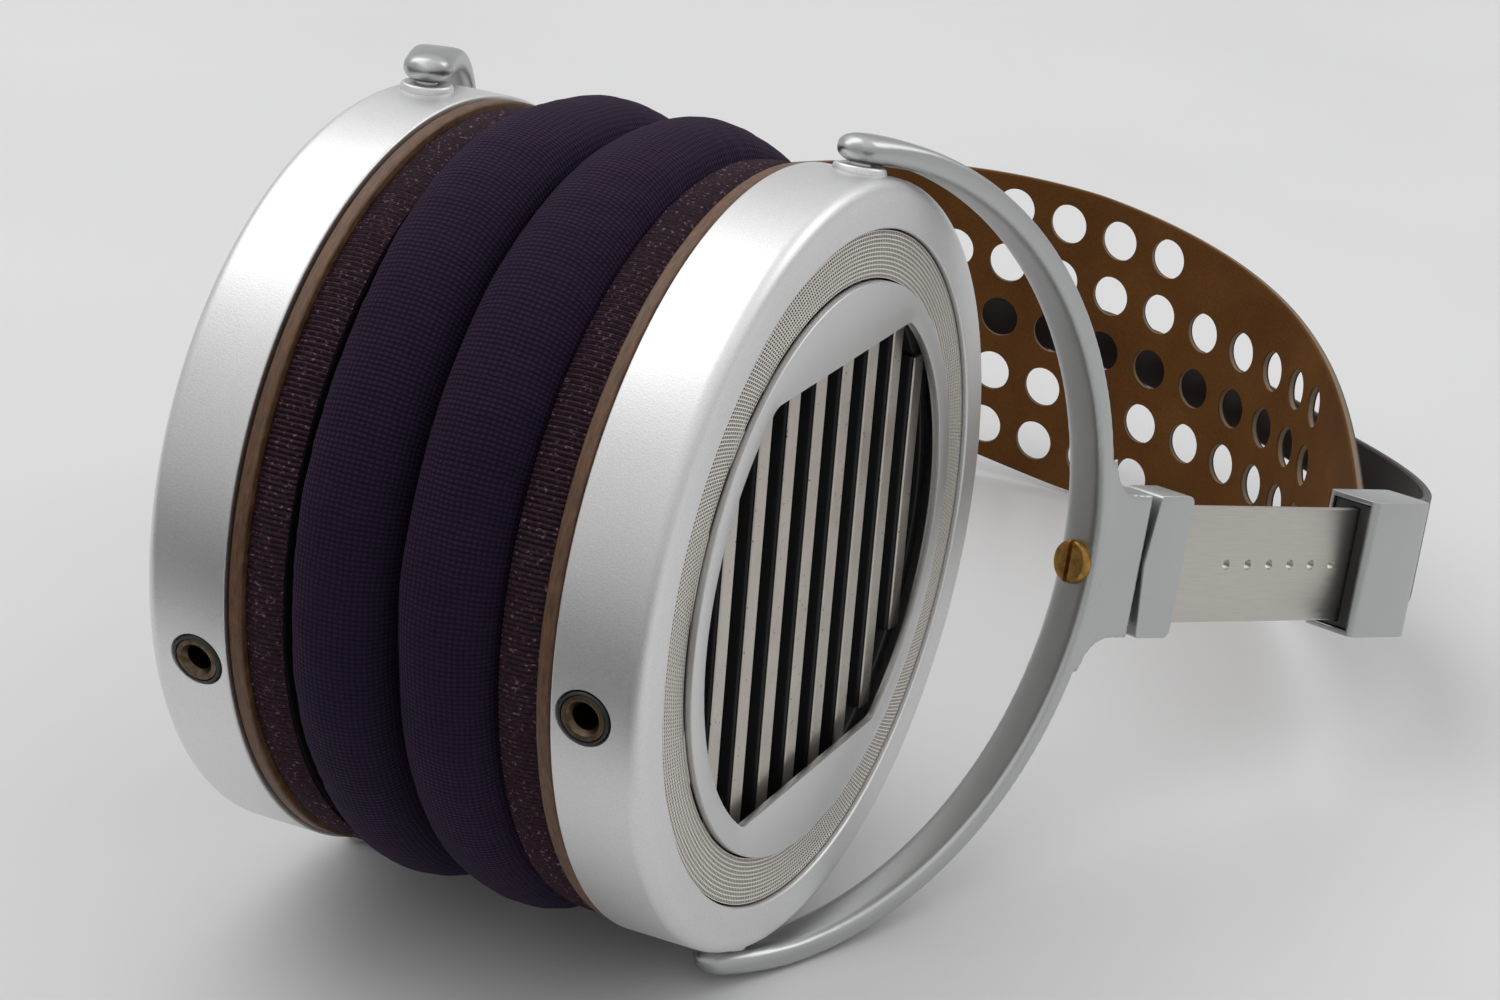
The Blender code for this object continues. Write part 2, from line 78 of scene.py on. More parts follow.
class Half:
    """One side of the headset and its frames."""

    def __init__(self, label, sign):
        tilt, slide = JOINTS[label + "_tilt"], JOINTS[label + "_height"]
        pivot, along = Vector(tilt["pos_m"]), Vector(tilt["axis"]).normalized()
        stem = Vector(slide["axis"]).normalized()
        up = along.cross(Vector((1, 0, 0))).normalized()
        out = Vector((sign, 0, 0))
        self.label, self.sign, self.along, self.stem_axis, self.pivot = label, sign, along, stem, pivot
        self.pin = frame_matrix(pivot, out, up, along)
        self.ring = self.pin @ Matrix.Translation((-PIN_INSET, 0, 0))
        self.stem = frame_matrix(pivot, sign * stem.cross(along), stem, along)


HALVES = [Half("right", 1), Half("left", -1)]
SPLAY = math.asin(abs(HALVES[0].stem_axis.x))
MEAN_ALONG = (HALVES[0].along + HALVES[1].along).normalized()
BAND_TWIST = MEAN_ALONG.angle(HALVES[0].along)
HEADSET = frame_matrix(Vector((0, *HALVES[0].pivot.yz)), Vector((1, 0, 0)),
                       MEAN_ALONG.cross(Vector((1, 0, 0))), MEAN_ALONG)
print("splay %.1f deg, band twist %.2f deg" % (math.degrees(SPLAY), math.degrees(BAND_TWIST)))

# %% [markdown]
# ## Camera, light and floor
# A long lens looks along the near cup's face from a little above it. The bare metal only looks
# like metal if it has something to mirror: a bright sky, a darker band at the horizon, and
# a large soft light at the upper left. The floor is pale and a little glossy and curves up behind.

# %% Camera
VIEW_AZIMUTH, VIEW_RISE, VIEW_ROLL = (math.radians(a) for a in (23.209, 9.844, 10.070))
VIEW_DISTANCE = 0.49492
VIEW_SIDE, VIEW_UP = 0.000926, 0.00668      # where the view's centre passes the near cup's middle
LENS = 87.88


def linked(name, data):
    """A new object, put in the scene."""
    made = bpy.data.objects.new(name, data)
    bpy.context.scene.collection.objects.link(made)
    return made


def make_camera():
    a, e, roll = VIEW_AZIMUTH, VIEW_RISE, VIEW_ROLL
    back = Vector((math.sin(a) * math.cos(e), -math.cos(a) * math.cos(e), math.sin(e)))
    right = Vector((math.cos(a), math.sin(a), 0))
    up = back.cross(right)
    side = right * math.cos(roll) + up * math.sin(roll)
    rise = up * math.cos(roll) - right * math.sin(roll)
    place = frame_matrix(side * VIEW_SIDE + rise * VIEW_UP + back * VIEW_DISTANCE, side, rise, back)
    data = bpy.data.cameras.new("camera")
    data.lens = LENS
    data.clip_start, data.clip_end = 0.01, 20
    camera = linked("camera", data)
    camera.matrix_world = HALVES[0].ring @ place
    bpy.context.scene.camera = camera
    return camera


camera = make_camera()
bpy.context.scene.view_settings.view_transform = "Standard"
print("camera at", [round(x, 3) for x in camera.location])

# %% [markdown]
# ## Shader maths
# A finish is easier to read as a formula than as a list of nodes and links. `Value` wraps one
# socket, and each operator on it adds the Math node for it. `Nodes.node` makes any other node:
# its settings are set first, then its sockets are given numbers or links.

# %% A small language for nodes
class Value:
    """A node's output that can be used in an expression."""

    def __init__(self, nodes, socket):
        self.nodes, self.socket = nodes, socket

    def math(self, operation, first, second=0.0, clamp=False):
        return self.nodes.node("ShaderNodeMath", {"operation": operation, "use_clamp": clamp},
                               {0: first, 1: second})

    def __add__(self, other):
        return self.math("ADD", self, other)

    __radd__ = __add__

    def __mul__(self, other):
        return self.math("MULTIPLY", self, other)

    __rmul__ = __mul__

    def __sub__(self, other):
        return self.math("SUBTRACT", self, other)

    def __rsub__(self, other):
        return self.math("SUBTRACT", other, self)

    def __truediv__(self, other):
        return self.math("DIVIDE", self, other)

    def __pow__(self, other):
        return self.math("POWER", self, other)

    def clamped(self):
        return self.math("ADD", self, 0.0, clamp=True)

    def above(self, edge, width):
        """0 below the edge, 1 above it, with a straight slope between."""
        return self.math("ADD", (self - edge) / width, 0.5, clamp=True)

    def wave(self):
        """Rises and falls between 0 and 1 once for each whole number."""
        return 0.5 - 0.5 * (self * (2 * math.pi)).cosine()

    def root(self):
        return self.math("SQRT", self)

    def cosine(self):
        return self.math("COSINE", self)

    def sine(self):
        return self.math("SINE", self)


class Nodes:
    """Adds nodes to a tree."""

    def __init__(self, tree):
        self.tree = tree

    def give(self, socket, value):
        if isinstance(value, Value):
            self.tree.links.new(value.socket, socket)
        elif socket.type == "RGBA" and len(value) == 3:
            socket.default_value = (*value, 1)
        else:
            socket.default_value = value

    def node(self, kind, settings=None, sockets=None, out=0):
        made = self.tree.nodes.new(kind)
        for name, value in (settings or {}).items():
            if name == "stops":
                self.stops(made.color_ramp, value)
            else:
                setattr(made, name, value)
        for name, value in (sockets or {}).items():
            self.give(made.inputs[name], value)
        return Value(self, made.outputs[out])

    def vector(self, x=0.0, y=0.0, z=0.0):
        return self.node("ShaderNodeCombineXYZ", {}, {0: x, 1: y, 2: z})

    def part(self, vector, axis):
        """One number of a vector: axis 0 is x, 1 is y and 2 is z."""
        return self.node("ShaderNodeSeparateXYZ", {}, {0: vector}, out=axis)

    def stops(self, ramp, stops):
        while len(ramp.elements) < len(stops):
            ramp.elements.new(0.5)
        for element, (place, colour) in zip(ramp.elements, stops):
            element.position, element.color = place, (*colour, 1)


class Finish(Nodes):
    """A material: a Principled shader, the coordinates, and what changes over the surface."""

    def __init__(self, name, roughness, metallic=0.0, **fixed):
        self.material = bpy.data.materials.new(name)
        self.material.use_nodes = True
        super().__init__(self.material.node_tree)
        self.shader = self.tree.nodes["Principled BSDF"]
        self.shader.inputs["Roughness"].default_value = roughness
        self.shader.inputs["Metallic"].default_value = metallic
        for name, value in fixed.items():
            self.give(self.shader.inputs[name.replace("_", " ")], value)

    def place(self):
        return self.node("ShaderNodeTexCoord", out="Object")

    def uv(self):
        """The two numbers of the piece's own map."""
        both = self.node("ShaderNodeUVMap", {"uv_map": "map"})
        return self.part(both, 0), self.part(both, 1)

    def noise(self, scale, detail=2.0, where=None, roughness=0.5):
        return self.node("ShaderNodeTexNoise", {}, {
            "Vector": where or self.place(), "Scale": scale, "Detail": detail, "Roughness": roughness})

    def mix(self, share, first, second):
        return self.node("ShaderNodeMix", {"data_type": "RGBA"}, {0: share, 6: first, 7: second}, out=2)

    def colour(self, value):
        self.give(self.shader.inputs["Base Color"], value)

    def rough(self, value):
        self.give(self.shader.inputs["Roughness"], value)

    def bump(self, height, strength, depth):
        self.give(self.shader.inputs["Normal"], self.node(
            "ShaderNodeBump", {}, {"Height": height, "Strength": strength, "Distance": depth}))


print("node helpers ready")

# %% [markdown]
# The floor and the wall behind it are one swept sheet, so no corner shows. Faint smudges break up
# its gloss. The pale sheet ends in front of the headset, and the dark table past it is what gives
# the bright rings their dark band.

# %% Floor, sky and lights
FLOOR_HALF, WALL_START, WALL_RISE = 3.0, 1.6, 1.5
SHEET_END = -0.20


def make_floor():
    bm = bmesh.new()
    line = [(-FLOOR_HALF, 0.0)]
    line += [(WALL_START + WALL_RISE * math.sin(a), WALL_RISE * (1 - math.cos(a)))
             for a in (math.radians(5 * i) for i in range(19))]
    rows = [[bm.verts.new((x, y, z)) for x in (-FLOOR_HALF, FLOOR_HALF)] for y, z in line]
    for low, high in zip(rows, rows[1:]):
        bm.faces.new((low[0], low[1], high[1], high[0]))
    mesh = bpy.data.meshes.new("floor")
    bm.to_mesh(mesh)
    bm.free()
    mesh.shade_smooth()
    floor = linked("floor", mesh)
    paint = Finish("pale_floor", 0.32, Specular_IOR_Level=0.45)
    cloudy = paint.noise(7.0, 4.0)
    forward = paint.part(paint.place(), 1)
    sheet = paint.mix(cloudy, (0.70, 0.70, 0.70), (0.76, 0.76, 0.76))
    paint.colour(paint.mix(forward.above(SHEET_END, 0.05), (0.008, 0.006, 0.006), sheet))
    paint.rough(0.26 + cloudy * 0.2)
    mesh.materials.append(paint.material)


def make_sky():
    world = bpy.data.worlds.new("sky")
    world.use_nodes = True
    bpy.context.scene.world = world
    nodes = Nodes(world.node_tree)
    towards = nodes.node("ShaderNodeTexCoord", out="Generated")
    height = nodes.part(towards, 2)
    bands = nodes.node("ShaderNodeValToRGB", {"stops": [
        (0.0, (0.40, 0.40, 0.40)), (0.47, (0.30, 0.30, 0.30)), (0.52, (0.62, 0.62, 0.62)),
        (0.66, (0.55, 0.55, 0.55)), (0.80, (0.75, 0.75, 0.75)), (1.0, (0.95, 0.95, 0.96))]},
        {"Fac": height * 0.5 + 0.5})
    background = world.node_tree.nodes["Background"]
    nodes.give(background.inputs["Color"], bands)
    background.inputs["Strength"].default_value = 1.0


def soft_light(name, place, aim, size, power, colour=(1, 1, 1)):
    data = bpy.data.lights.new(name, "AREA")
    data.shape, data.size, data.energy, data.color = "DISK", size, power, colour
    light = linked(name, data)
    light.location = place
    light.rotation_mode = "QUATERNION"
    light.rotation_quaternion = (Vector(aim) - Vector(place)).to_track_quat("-Z", "Y")


make_floor()
make_sky()
soft_light("key_light", (-0.65, -0.05, 1.25), (0, -0.03, 0.05), 1.2, 4.4)
soft_light("rim_light", (0.8, 0.9, 1.1), (0, 0, 0.05), 0.9, 3.0)
print("floor, sky and lights made")

# %% [markdown]
# ## Drawing tools
# Most of this object is turned or sawn metal. So a few helpers draw nearly everything: an outline
# with rounded corners, a turned ring of such an outline, a sawn block of it, and a loft along a path.
# A turned piece also gets a map: once round is 0 to 1, and the other way is metres along its profile.

# %% Outlines, turned pieces and blocks
def rounded(points, radii, steps=5):
    """A closed outline with an arc at each corner. radii is one radius, or one for each corner."""
    made = []
    for i, point in enumerate(points):
        radius = radii[i] if isinstance(radii, (list, tuple)) else radii
        corner = Vector(point)
        before = (Vector(points[i - 1]) - corner).normalized()
        after = (Vector(points[(i + 1) % len(points)]) - corner).normalized()
        if radius <= 0:
            made.append(tuple(corner))
            continue
        half = before.angle(after) / 2
        centre = corner + (before + after).normalized() * (radius / math.sin(half))
        start, end = (corner + way * (radius / math.tan(half)) - centre for way in (before, after))
        first = math.atan2(start.y, start.x)
        sweep = (math.atan2(end.y, end.x) - first + math.pi) % (2 * math.pi) - math.pi
        made += [(centre.x + radius * math.cos(first + sweep * k / steps),
                  centre.y + radius * math.sin(first + sweep * k / steps)) for k in range(steps + 1)]
    return made


def ring_section(start, end, bore, radius):
    """The plain section of a ring or, with no bore, of a disc, for `turned`."""
    return [(start, bore), (start, radius), (end, radius), (end, bore)]


TURN_FROM_X = {"X": Matrix.Identity(4), "Y": Matrix.Rotation(math.pi / 2, 4, "Z"),
               "Z": Matrix.Rotation(-math.pi / 2, 4, "Y")}


def turned(profile, segments=256, axis="X"):
    """Turns a closed profile of (along, radius) about an axis."""
    bm = bmesh.new()
    chart = bm.loops.layers.uv.new("map")
    lengths = [0.0]
    for a, b in zip(profile, profile[1:] + profile[:1]):
        lengths.append(lengths[-1] + math.dist(a, b))
    angles = [2 * math.pi * i / segments for i in range(segments)]
    rings = [[bm.verts.new((along, radius * math.cos(a), radius * math.sin(a))) for a in angles]
             if radius > 0 else [bm.verts.new((along, 0, 0))] * segments for along, radius in profile]
    for k, (first, second) in enumerate(zip(rings, rings[1:] + rings[:1])):
        for i in range(segments):
            j = (i + 1) % segments
            corners = {}
            for vert, u, v in ((first[i], i, k), (first[j], i + 1, k), (second[j], i + 1, k + 1),
                               (second[i], i, k + 1)):
                corners.setdefault(vert, (u / segments, lengths[v]))
            if len(corners) < 3:
                continue
            face = bm.faces.new(corners)
            for loop in face.loops:
                loop[chart].uv = corners[loop.vert]
    bm.transform(TURN_FROM_X[axis])
    return bm


def sawn(outline, start, end, axis="X"):
    """A block: an outline of (y, z) points between two x values, or the same about another axis."""
    bm = bmesh.new()
    ends = [[bm.verts.new((at, y, z)) for y, z in outline] for at in (start, end)]
    bm.faces.new(ends[0])
    bm.faces.new(ends[1])
    for i in range(len(outline)):
        j = (i + 1) % len(outline)
        bm.faces.new((ends[0][i], ends[0][j], ends[1][j], ends[1][i]))
    bm.transform(TURN_FROM_X[axis])
    return bm


def block(x, y, z, corner=0.0, steps=4):
    """A box from its limits, whose outline across x has rounded corners."""
    corners = [(y[0], z[0]), (y[1], z[0]), (y[1], z[1]), (y[0], z[1])]
    return sawn(rounded(corners, corner, steps) if corner else corners, *x)


def lofted(rings):
    """Joins rings of points, with a flat cap at each end."""
    bm = bmesh.new()
    rows = [[bm.verts.new(point) for point in ring] for ring in rings]
    for first, second in zip(rows, rows[1:]):
        for k in range(len(first)):
            m = (k + 1) % len(first)
            bm.faces.new((first[k], first[m], second[m], second[k]))
    bm.faces.new(rows[0])
    bm.faces.new(rows[-1])
    return bm


print("drawing tools ready")

# %% [markdown]
# ## From a drawing to a piece
# `new_object` carries a drawing to its place and turns its faces outwards. Cuts, bevels and node
# trees are modifiers, and `settled` turns the result into a plain mesh. `fitted` then says which
# body the piece rides on, which finish it has, and which plain node it stands for.

# %% Objects, cuts and bevels
ALL_SMOOTH = 180.0        # an angle so wide that no edge counts as sharp
FIT = 0.0002              # the play between two parts that fit into each other
PAST = 0.002              # how far a cutter reaches past what it cuts


def new_object(name, bm, place=Matrix.Identity(4), sharp=32.0):
    bm.transform(place)
    bmesh.ops.remove_doubles(bm, verts=bm.verts, dist=1e-7)
    bmesh.ops.recalc_face_normals(bm, faces=bm.faces)
    mesh = bpy.data.meshes.new(name)
    bm.to_mesh(mesh)
    bm.free()
    mesh.shade_smooth()
    mesh.set_sharp_from_angle(angle=math.radians(sharp))
    return linked(name, mesh)


def settled(obj, sharp=32.0):
    """Replaces the object's mesh by what its modifiers make, and removes them."""
    graph = bpy.context.evaluated_depsgraph_get()
    mesh = bpy.data.meshes.new_from_object(obj.evaluated_get(graph), depsgraph=graph)
    obj.modifiers.clear()
    obj.data = mesh
    mesh.shade_smooth()
    mesh.set_sharp_from_angle(angle=math.radians(sharp))
    return obj


def modify(obj, kind, **settings):
    """Adds a modifier and sets it up."""
    step = obj.modifiers.new(kind.lower(), kind)
    for name, value in settings.items():
        setattr(step, name, value)


def boolean(obj, bm, place=Matrix.Identity(4), operation="DIFFERENCE"):
    helper = new_object("helper", bm, place)
    modify(obj, "BOOLEAN", operation=operation, object=helper)
    settled(obj)
    bpy.data.objects.remove(helper, do_unlink=True)
    return obj


def bevelled(obj, width, segments=3, angle=40.0):
    modify(obj, "BEVEL", width=width, segments=segments, limit_method="ANGLE",
           angle_limit=math.radians(angle))
    return settled(obj)


def fitted(obj, paint, body, slot, *nodes):
    obj.data.materials.clear()
    obj.data.materials.append(paint.material)
    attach(obj, body)
    if nodes:
        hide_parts(*nodes)
    return obj


print("object helpers ready")

# %% [markdown]
# ## Geometry Nodes helper
# What repeats is made by a node tree with named inputs. A modifier's input is set by its socket's
# identifier, and the finished piece is settled into a plain mesh.

# %% Node trees for repeated shapes
class Repeat(Nodes):
    """A geometry tree. inputs are name: (socket type, value)."""

    def __init__(self, name, inputs):
        group = bpy.data.node_groups.new(name, "GeometryNodeTree")
        group.interface.new_socket("Geometry", in_out="OUTPUT", socket_type="NodeSocketGeometry")
        group.interface.new_socket("Geometry", in_out="INPUT", socket_type="NodeSocketGeometry")
        for label, (kind, value) in inputs.items():
            group.interface.new_socket(label, in_out="INPUT", socket_type="NodeSocket" + kind)
        super().__init__(group)
        self.group, self.values = group, {k: v for k, (_, v) in inputs.items()}
        self.source = group.nodes.new("NodeGroupInput")
        self.sink = group.nodes.new("NodeGroupOutput")

    def input(self, name):
        return Value(self, self.source.outputs[name])

    def output(self, geometry, material):
        geometry = self.node("GeometryNodeSetMaterial", {}, {"Geometry": geometry, "Material": material})
        self.tree.links.new(geometry.socket, self.sink.inputs[0])

    def apply(self, obj):
        step = obj.modifiers.new("repeat", "NODES")
        step.node_group = self.group
        for item in self.group.interface.items_tree:
            if item.in_out == "INPUT" and item.name in self.values:
                step[item.identifier] = self.values[item.name]
        return settled(obj)


def place_mesh(obj, place):
    """Carries a settled mesh to its place and turns its faces outwards."""
    bm = bmesh.new()
    bm.from_mesh(obj.data)
    bm.transform(place)
    bmesh.ops.remove_doubles(bm, verts=bm.verts, dist=1e-7)
    bmesh.ops.recalc_face_normals(bm, faces=bm.faces)
    bm.to_mesh(obj.data)
    bm.free()
    return obj


print("node trees ready")

# %% [markdown]
# ## Finishes
# Every finish is a formula on place or on the piece's own map. Colours are linear values.
# Bead-blasted aluminium is a fine random grain: tiny pits scatter the mirror image into a soft
# sheen, and here and there one pit sparkles.

# %% Metals
def grained_metal(name, colour, roughness, grain=5200.0, pit=0.35):
    paint = Finish(name, roughness, 1.0)
    fine = paint.noise(grain, 1.0)
    cloudy = paint.noise(60.0, 3.0)
    light, dark = colour, tuple(c * 0.86 for c in colour)
    paint.colour(paint.mix((fine * 0.7 + cloudy * 0.3).above(0.5, 0.5), dark, light))
    paint.rough(roughness - 0.05 + fine * 0.1 + cloudy * 0.03)
    paint.bump(fine, pit, 0.00003)
    return paint


def turned_brass(name, colour, roughness):
    """Brass from a lathe: a fine bumpy grain, and darker patches where it has tarnished."""
    paint = Finish(name, roughness, 1.0)
    tarnish = paint.noise(900.0, 4.0)
    paint.colour(paint.mix(tarnish.above(0.55, 0.3), colour, tuple(c * 0.5 for c in colour)))
    paint.rough(roughness + tarnish * 0.25)
    paint.bump(paint.noise(3500.0, 2.0), 0.3, 0.00003)
    return paint


def brushed_plate(name, colour, roughness, along):
    """Metal brushed one way: the noise is stretched along the brushing."""
    paint = Finish(name, roughness, 1.0)
    turn = Vector(along).to_track_quat("Y", "Z").to_euler()
    where = paint.node("ShaderNodeMapping", {"vector_type": "TEXTURE"}, {
        "Vector": paint.place(), "Rotation": tuple(turn), "Scale": (1, 30, 1)})
    streak = paint.noise(6000.0, 2.0, where)
    paint.colour(paint.mix(streak.above(0.5, 0.6), tuple(c * 0.85 for c in colour), colour))
    paint.rough(roughness - 0.06 + streak * 0.16)
    paint.bump(streak, 0.25, 0.00002)
    return paint


ALUMINIUM = grained_metal("bead_blasted_aluminium", (0.84, 0.84, 0.84), 0.42, 4200.0, 0.6)
FACE = grained_metal("fine_blasted_face", (0.74, 0.74, 0.74), 0.40, 6500.0, 0.3)
YOKE_METAL = grained_metal("satin_yoke", (0.52, 0.53, 0.53), 0.32, 6500.0, 0.15)
BRASS = turned_brass("tarnished_brass", (0.15, 0.11, 0.07), 0.24)
SCREW_BRASS = turned_brass("yellow_brass", (0.46, 0.26, 0.07), 0.30)
SLIDER_METAL = brushed_plate("brushed_slider", (0.60, 0.58, 0.53), 0.36, HALVES[0].stem_axis)
print("metals made")

# %% [markdown]
# The magnet bars are nickel plated and matt, with small dark specks. The punched sheet is warm grey,
# and its holes are real. Just behind it lies a dark brown sheet that is painted shade, so that the
# holes look dark. Black parts are moulded plastic with a faint orange-peel grain.

# %% Bars, punched sheet and plastic
def speckled_bars():
    paint = Finish("nickel_bars", 0.36, 0.85)
    spots = paint.noise(1500.0, 3.0)
    cloudy = paint.noise(180.0, 2.0)
    base = paint.mix(cloudy, (0.50, 0.46, 0.41), (0.66, 0.62, 0.57))
    paint.colour(paint.mix(spots.above(0.70, 0.04), base, (0.12, 0.10, 0.085)))
    paint.rough(0.30 + cloudy * 0.16)
    paint.bump(spots, 0.2, 0.00004)
    return paint


def punched_sheet():
    paint = Finish("punched_steel", 0.42, 0.55)
    fine = paint.noise(5000.0, 2.0)
    paint.colour(paint.mix(fine, (0.78, 0.74, 0.68), (0.88, 0.84, 0.78)))
    paint.rough(0.36 + fine * 0.12)
    paint.bump(fine, 0.15, 0.00002)
    return paint


def moulded(name, colour, roughness):
    paint = Finish(name, roughness)
    peel = paint.noise(2600.0, 3.0)
    paint.colour(paint.mix(peel, colour, tuple(c * 1.5 + 0.003 for c in colour)))
    paint.rough(roughness - 0.05 + peel * 0.12)
    paint.bump(peel, 0.2, 0.00004)
    return paint


BARS = speckled_bars()
SHEET = punched_sheet()
BLACK = moulded("black_plastic", (0.012, 0.012, 0.012), 0.42)
# Painted shade: the dark brown sheet behind the punched holes stands in for the shade seen through them.
HOLE_SHADE = moulded("painted_shade_behind_holes", (0.014, 0.008, 0.006), 0.8)
FILM = moulded("dark_film", (0.016, 0.014, 0.012), 0.3)
ARCH_PAINT = moulded("dark_spring_steel", (0.016, 0.010, 0.008), 0.38)
print("bars, sheet and plastics made")

# %% [markdown]
# Veneer has grain that runs round the ring. Leather has two sides: a smooth dark one outside and
# brushed suede inside, and a paler cut edge between them. The strap's own attribute says which
# side a point is on.

# %% Wood and leather
def veneer():
    paint = Finish("walnut_veneer", 0.5)
    where = paint.node("ShaderNodeMapping", {}, {"Vector": paint.place(), "Scale": (3.0, 0.5, 0.5)})
    grain = paint.noise(900.0, 5.0, where, 0.65)
    paint.colour(paint.mix(grain.above(0.5, 0.35), (0.075, 0.034, 0.016), (0.175, 0.088, 0.044)))
    paint.rough(0.42 + grain * 0.18)
    paint.bump(grain, 0.3, 0.00006)
    return paint


def strap_leather():
    paint = Finish("brown_leather", 0.8, Specular_IOR_Level=0.12)
    layer = paint.node("ShaderNodeAttribute", {"attribute_name": "layer"}, out="Fac")
    nap = paint.noise(2600.0, 4.0, None, 0.7)
    cloudy = paint.noise(70.0, 4.0)
    brushed = (nap * 0.5 + cloudy * 0.5).above(0.5, 0.4)
    suede = paint.mix(brushed, (0.075, 0.028, 0.007), (0.150, 0.062, 0.015))
    smooth = paint.mix(cloudy, (0.022, 0.011, 0.006), (0.036, 0.018, 0.009))
    edge = paint.mix(nap, (0.16, 0.12, 0.085), (0.26, 0.21, 0.15))
    outside = layer.above(0.55, 0.3)
    inside = (0 - layer).above(0.55, 0.3)
    paint.colour(paint.mix(inside, paint.mix(outside, edge, smooth), suede))
    paint.rough(0.86 - outside * 0.42)
    pores = paint.node("ShaderNodeTexVoronoi", {"feature": "F1"},
                       {"Vector": paint.place(), "Scale": 1300.0}, out="Distance")
    paint.bump(nap * inside + pores * outside, 0.5, 0.00012)
    return paint


VENEER = veneer()
LEATHER = strap_leather()
print("wood and leather made")

# %% [markdown]
# The pad's cover is a fine rib knit. Its map counts stitches, so one whole number is one stitch
# both ways, and the weave closes on itself round the ring. The elastic's ribs are real shapes, and
# its finish adds the glitter of the thread: pale pink specks in its colour are a painted glint, and
# the same specks are less rough, so they also really shine.

# %% Knit and elastic
def knit():
    paint = Finish("purple_knit", 0.88, Sheen_Weight=0.06, Sheen_Roughness=0.45,
                   Sheen_Tint=(0.62, 0.40, 0.74), Specular_IOR_Level=0.12)
    u, v = paint.uv()
    sway = (paint.noise(220.0, 2.0) - 0.5) * 0.9
    wales, rows = (u + sway).wave(), (v + sway).wave()
    stitch = wales.root() * (0.35 + 0.65 * rows)
    fuzz = paint.noise(2400.0, 3.0)
    faded = paint.noise(45.0, 3.0)
    dark = paint.mix(faded, (0.0035, 0.0018, 0.0055), (0.006, 0.003, 0.009))
    light = paint.mix(faded, (0.026, 0.013, 0.036), (0.038, 0.020, 0.050))
    paint.colour(paint.mix((stitch * 0.75 + fuzz * 0.5 - 0.1).clamped(), dark, light))
    paint.rough(0.80 + fuzz * 0.15)
    paint.bump(stitch * 0.8 + fuzz * 0.4, 0.8, 0.00022)
    return paint


def elastic(name, dark, light, painted_glint_and_shine):
    paint = Finish(name, 0.62, Sheen_Weight=0.03, Sheen_Roughness=0.4, Specular_IOR_Level=0.25)
    threads = paint.noise(1900.0, 2.0)
    # Painted glint: specks of the threads are painted pale pink, and the same specks are made less rough,
    # so they also shine.
    paint.colour(paint.mix(threads.above(0.66, 0.08) * painted_glint_and_shine,
                           paint.mix(threads.above(0.5, 0.3), dark, light), (0.22, 0.12, 0.17)))
    paint.rough(0.70 - threads.above(0.66, 0.08) * 0.35 * painted_glint_and_shine)
    paint.bump(threads, 0.5, 0.0001)
    return paint


KNIT = knit()
RIBS = elastic("burgundy_ribs", (0.010, 0.0025, 0.006), (0.034, 0.009, 0.020), 0.7)
UNDER = elastic("burgundy_ground", (0.003, 0.001, 0.002), (0.006, 0.002, 0.004), 0.0)
print("knit and elastic made")

# %% [markdown]
# ## The cup ring
# The ring is turned from a solid bar: a straight wall, a small fillet and a flat front. The front
# ends in a thin lip, and behind it a step holds the punched sheet and the plate. The hole for the
# socket is bored last, through the wall.

# %% Cup ring
RING_RADIUS, RING_BORE, RING_DEPTH = 0.0532, 0.0502, 0.0125
RING_FILLET, LIP_RADIUS, LIP_BACK = 0.0021, 0.0466, 0.0109
EDGE = 0.00035                      # how far a machined edge is broken
JACK_OFFSET, JACK_ANGLE, JACK_HOLE = 0.0047, math.radians(196.6), 0.0037
JACK_CHAMFER, CHAMFER_START = 0.0008, 0.0004


def jack_place(half):
    return half.ring @ Matrix.Translation((JACK_OFFSET, 0, 0)) @ Matrix.Rotation(JACK_ANGLE, 4, "X")


def make_ring(half):
    outline = rounded(
        [(0, RING_BORE), (0, RING_RADIUS), (RING_DEPTH, RING_RADIUS), (RING_DEPTH, LIP_RADIUS),
         (LIP_BACK, LIP_RADIUS), (LIP_BACK, RING_BORE)], [0, EDGE, RING_FILLET, EDGE, 0, 0], 9)
    ring = new_object(half.label + "_ring", turned(outline, 288), half.ring)
    start, end = RING_BORE - PAST, RING_RADIUS + JACK_CHAMFER
    bore = turned([(start, 0), (start, JACK_HOLE), (RING_RADIUS - CHAMFER_START, JACK_HOLE),
                   (end, JACK_HOLE + JACK_CHAMFER), (end, 0)], 64, "Y")
    boolean(ring, bore, jack_place(half))
    return fitted(ring, ALUMINIUM, half.label + "_cup", "aluminium_beadblasted", half.label + "_cup_ring")


for half in HALVES:
    print(make_ring(half).name)

# %% [markdown]
# ## The punched sheet
# A ring of about five thousand holes. The tree bends a grid into the ring, each row shifted by half
# a hole, and then each cell is inset and its middle removed. The sheet is given its thickness at
# the end. That is far cheaper than cutting five thousand cylinders.

# %% Punched sheet
SHEET_BORE, SHEET_RADIUS, SHEET_BACK, SHEET_THICKNESS = 0.0399, 0.0463, 0.0116, 0.00012
HOLE_ROWS, HOLES_ROUND, HOLE_SHARE = 11, 480, 0.68
# Where the painted shade sheet sits, just behind the punched sheet.
HOLE_SHADE_START, HOLE_SHADE_END, HOLE_SHADE_EDGE = SHEET_BACK - 0.0006, SHEET_BACK - 0.0003, 0.0001
WELD = 1e-6               # points closer than this become one


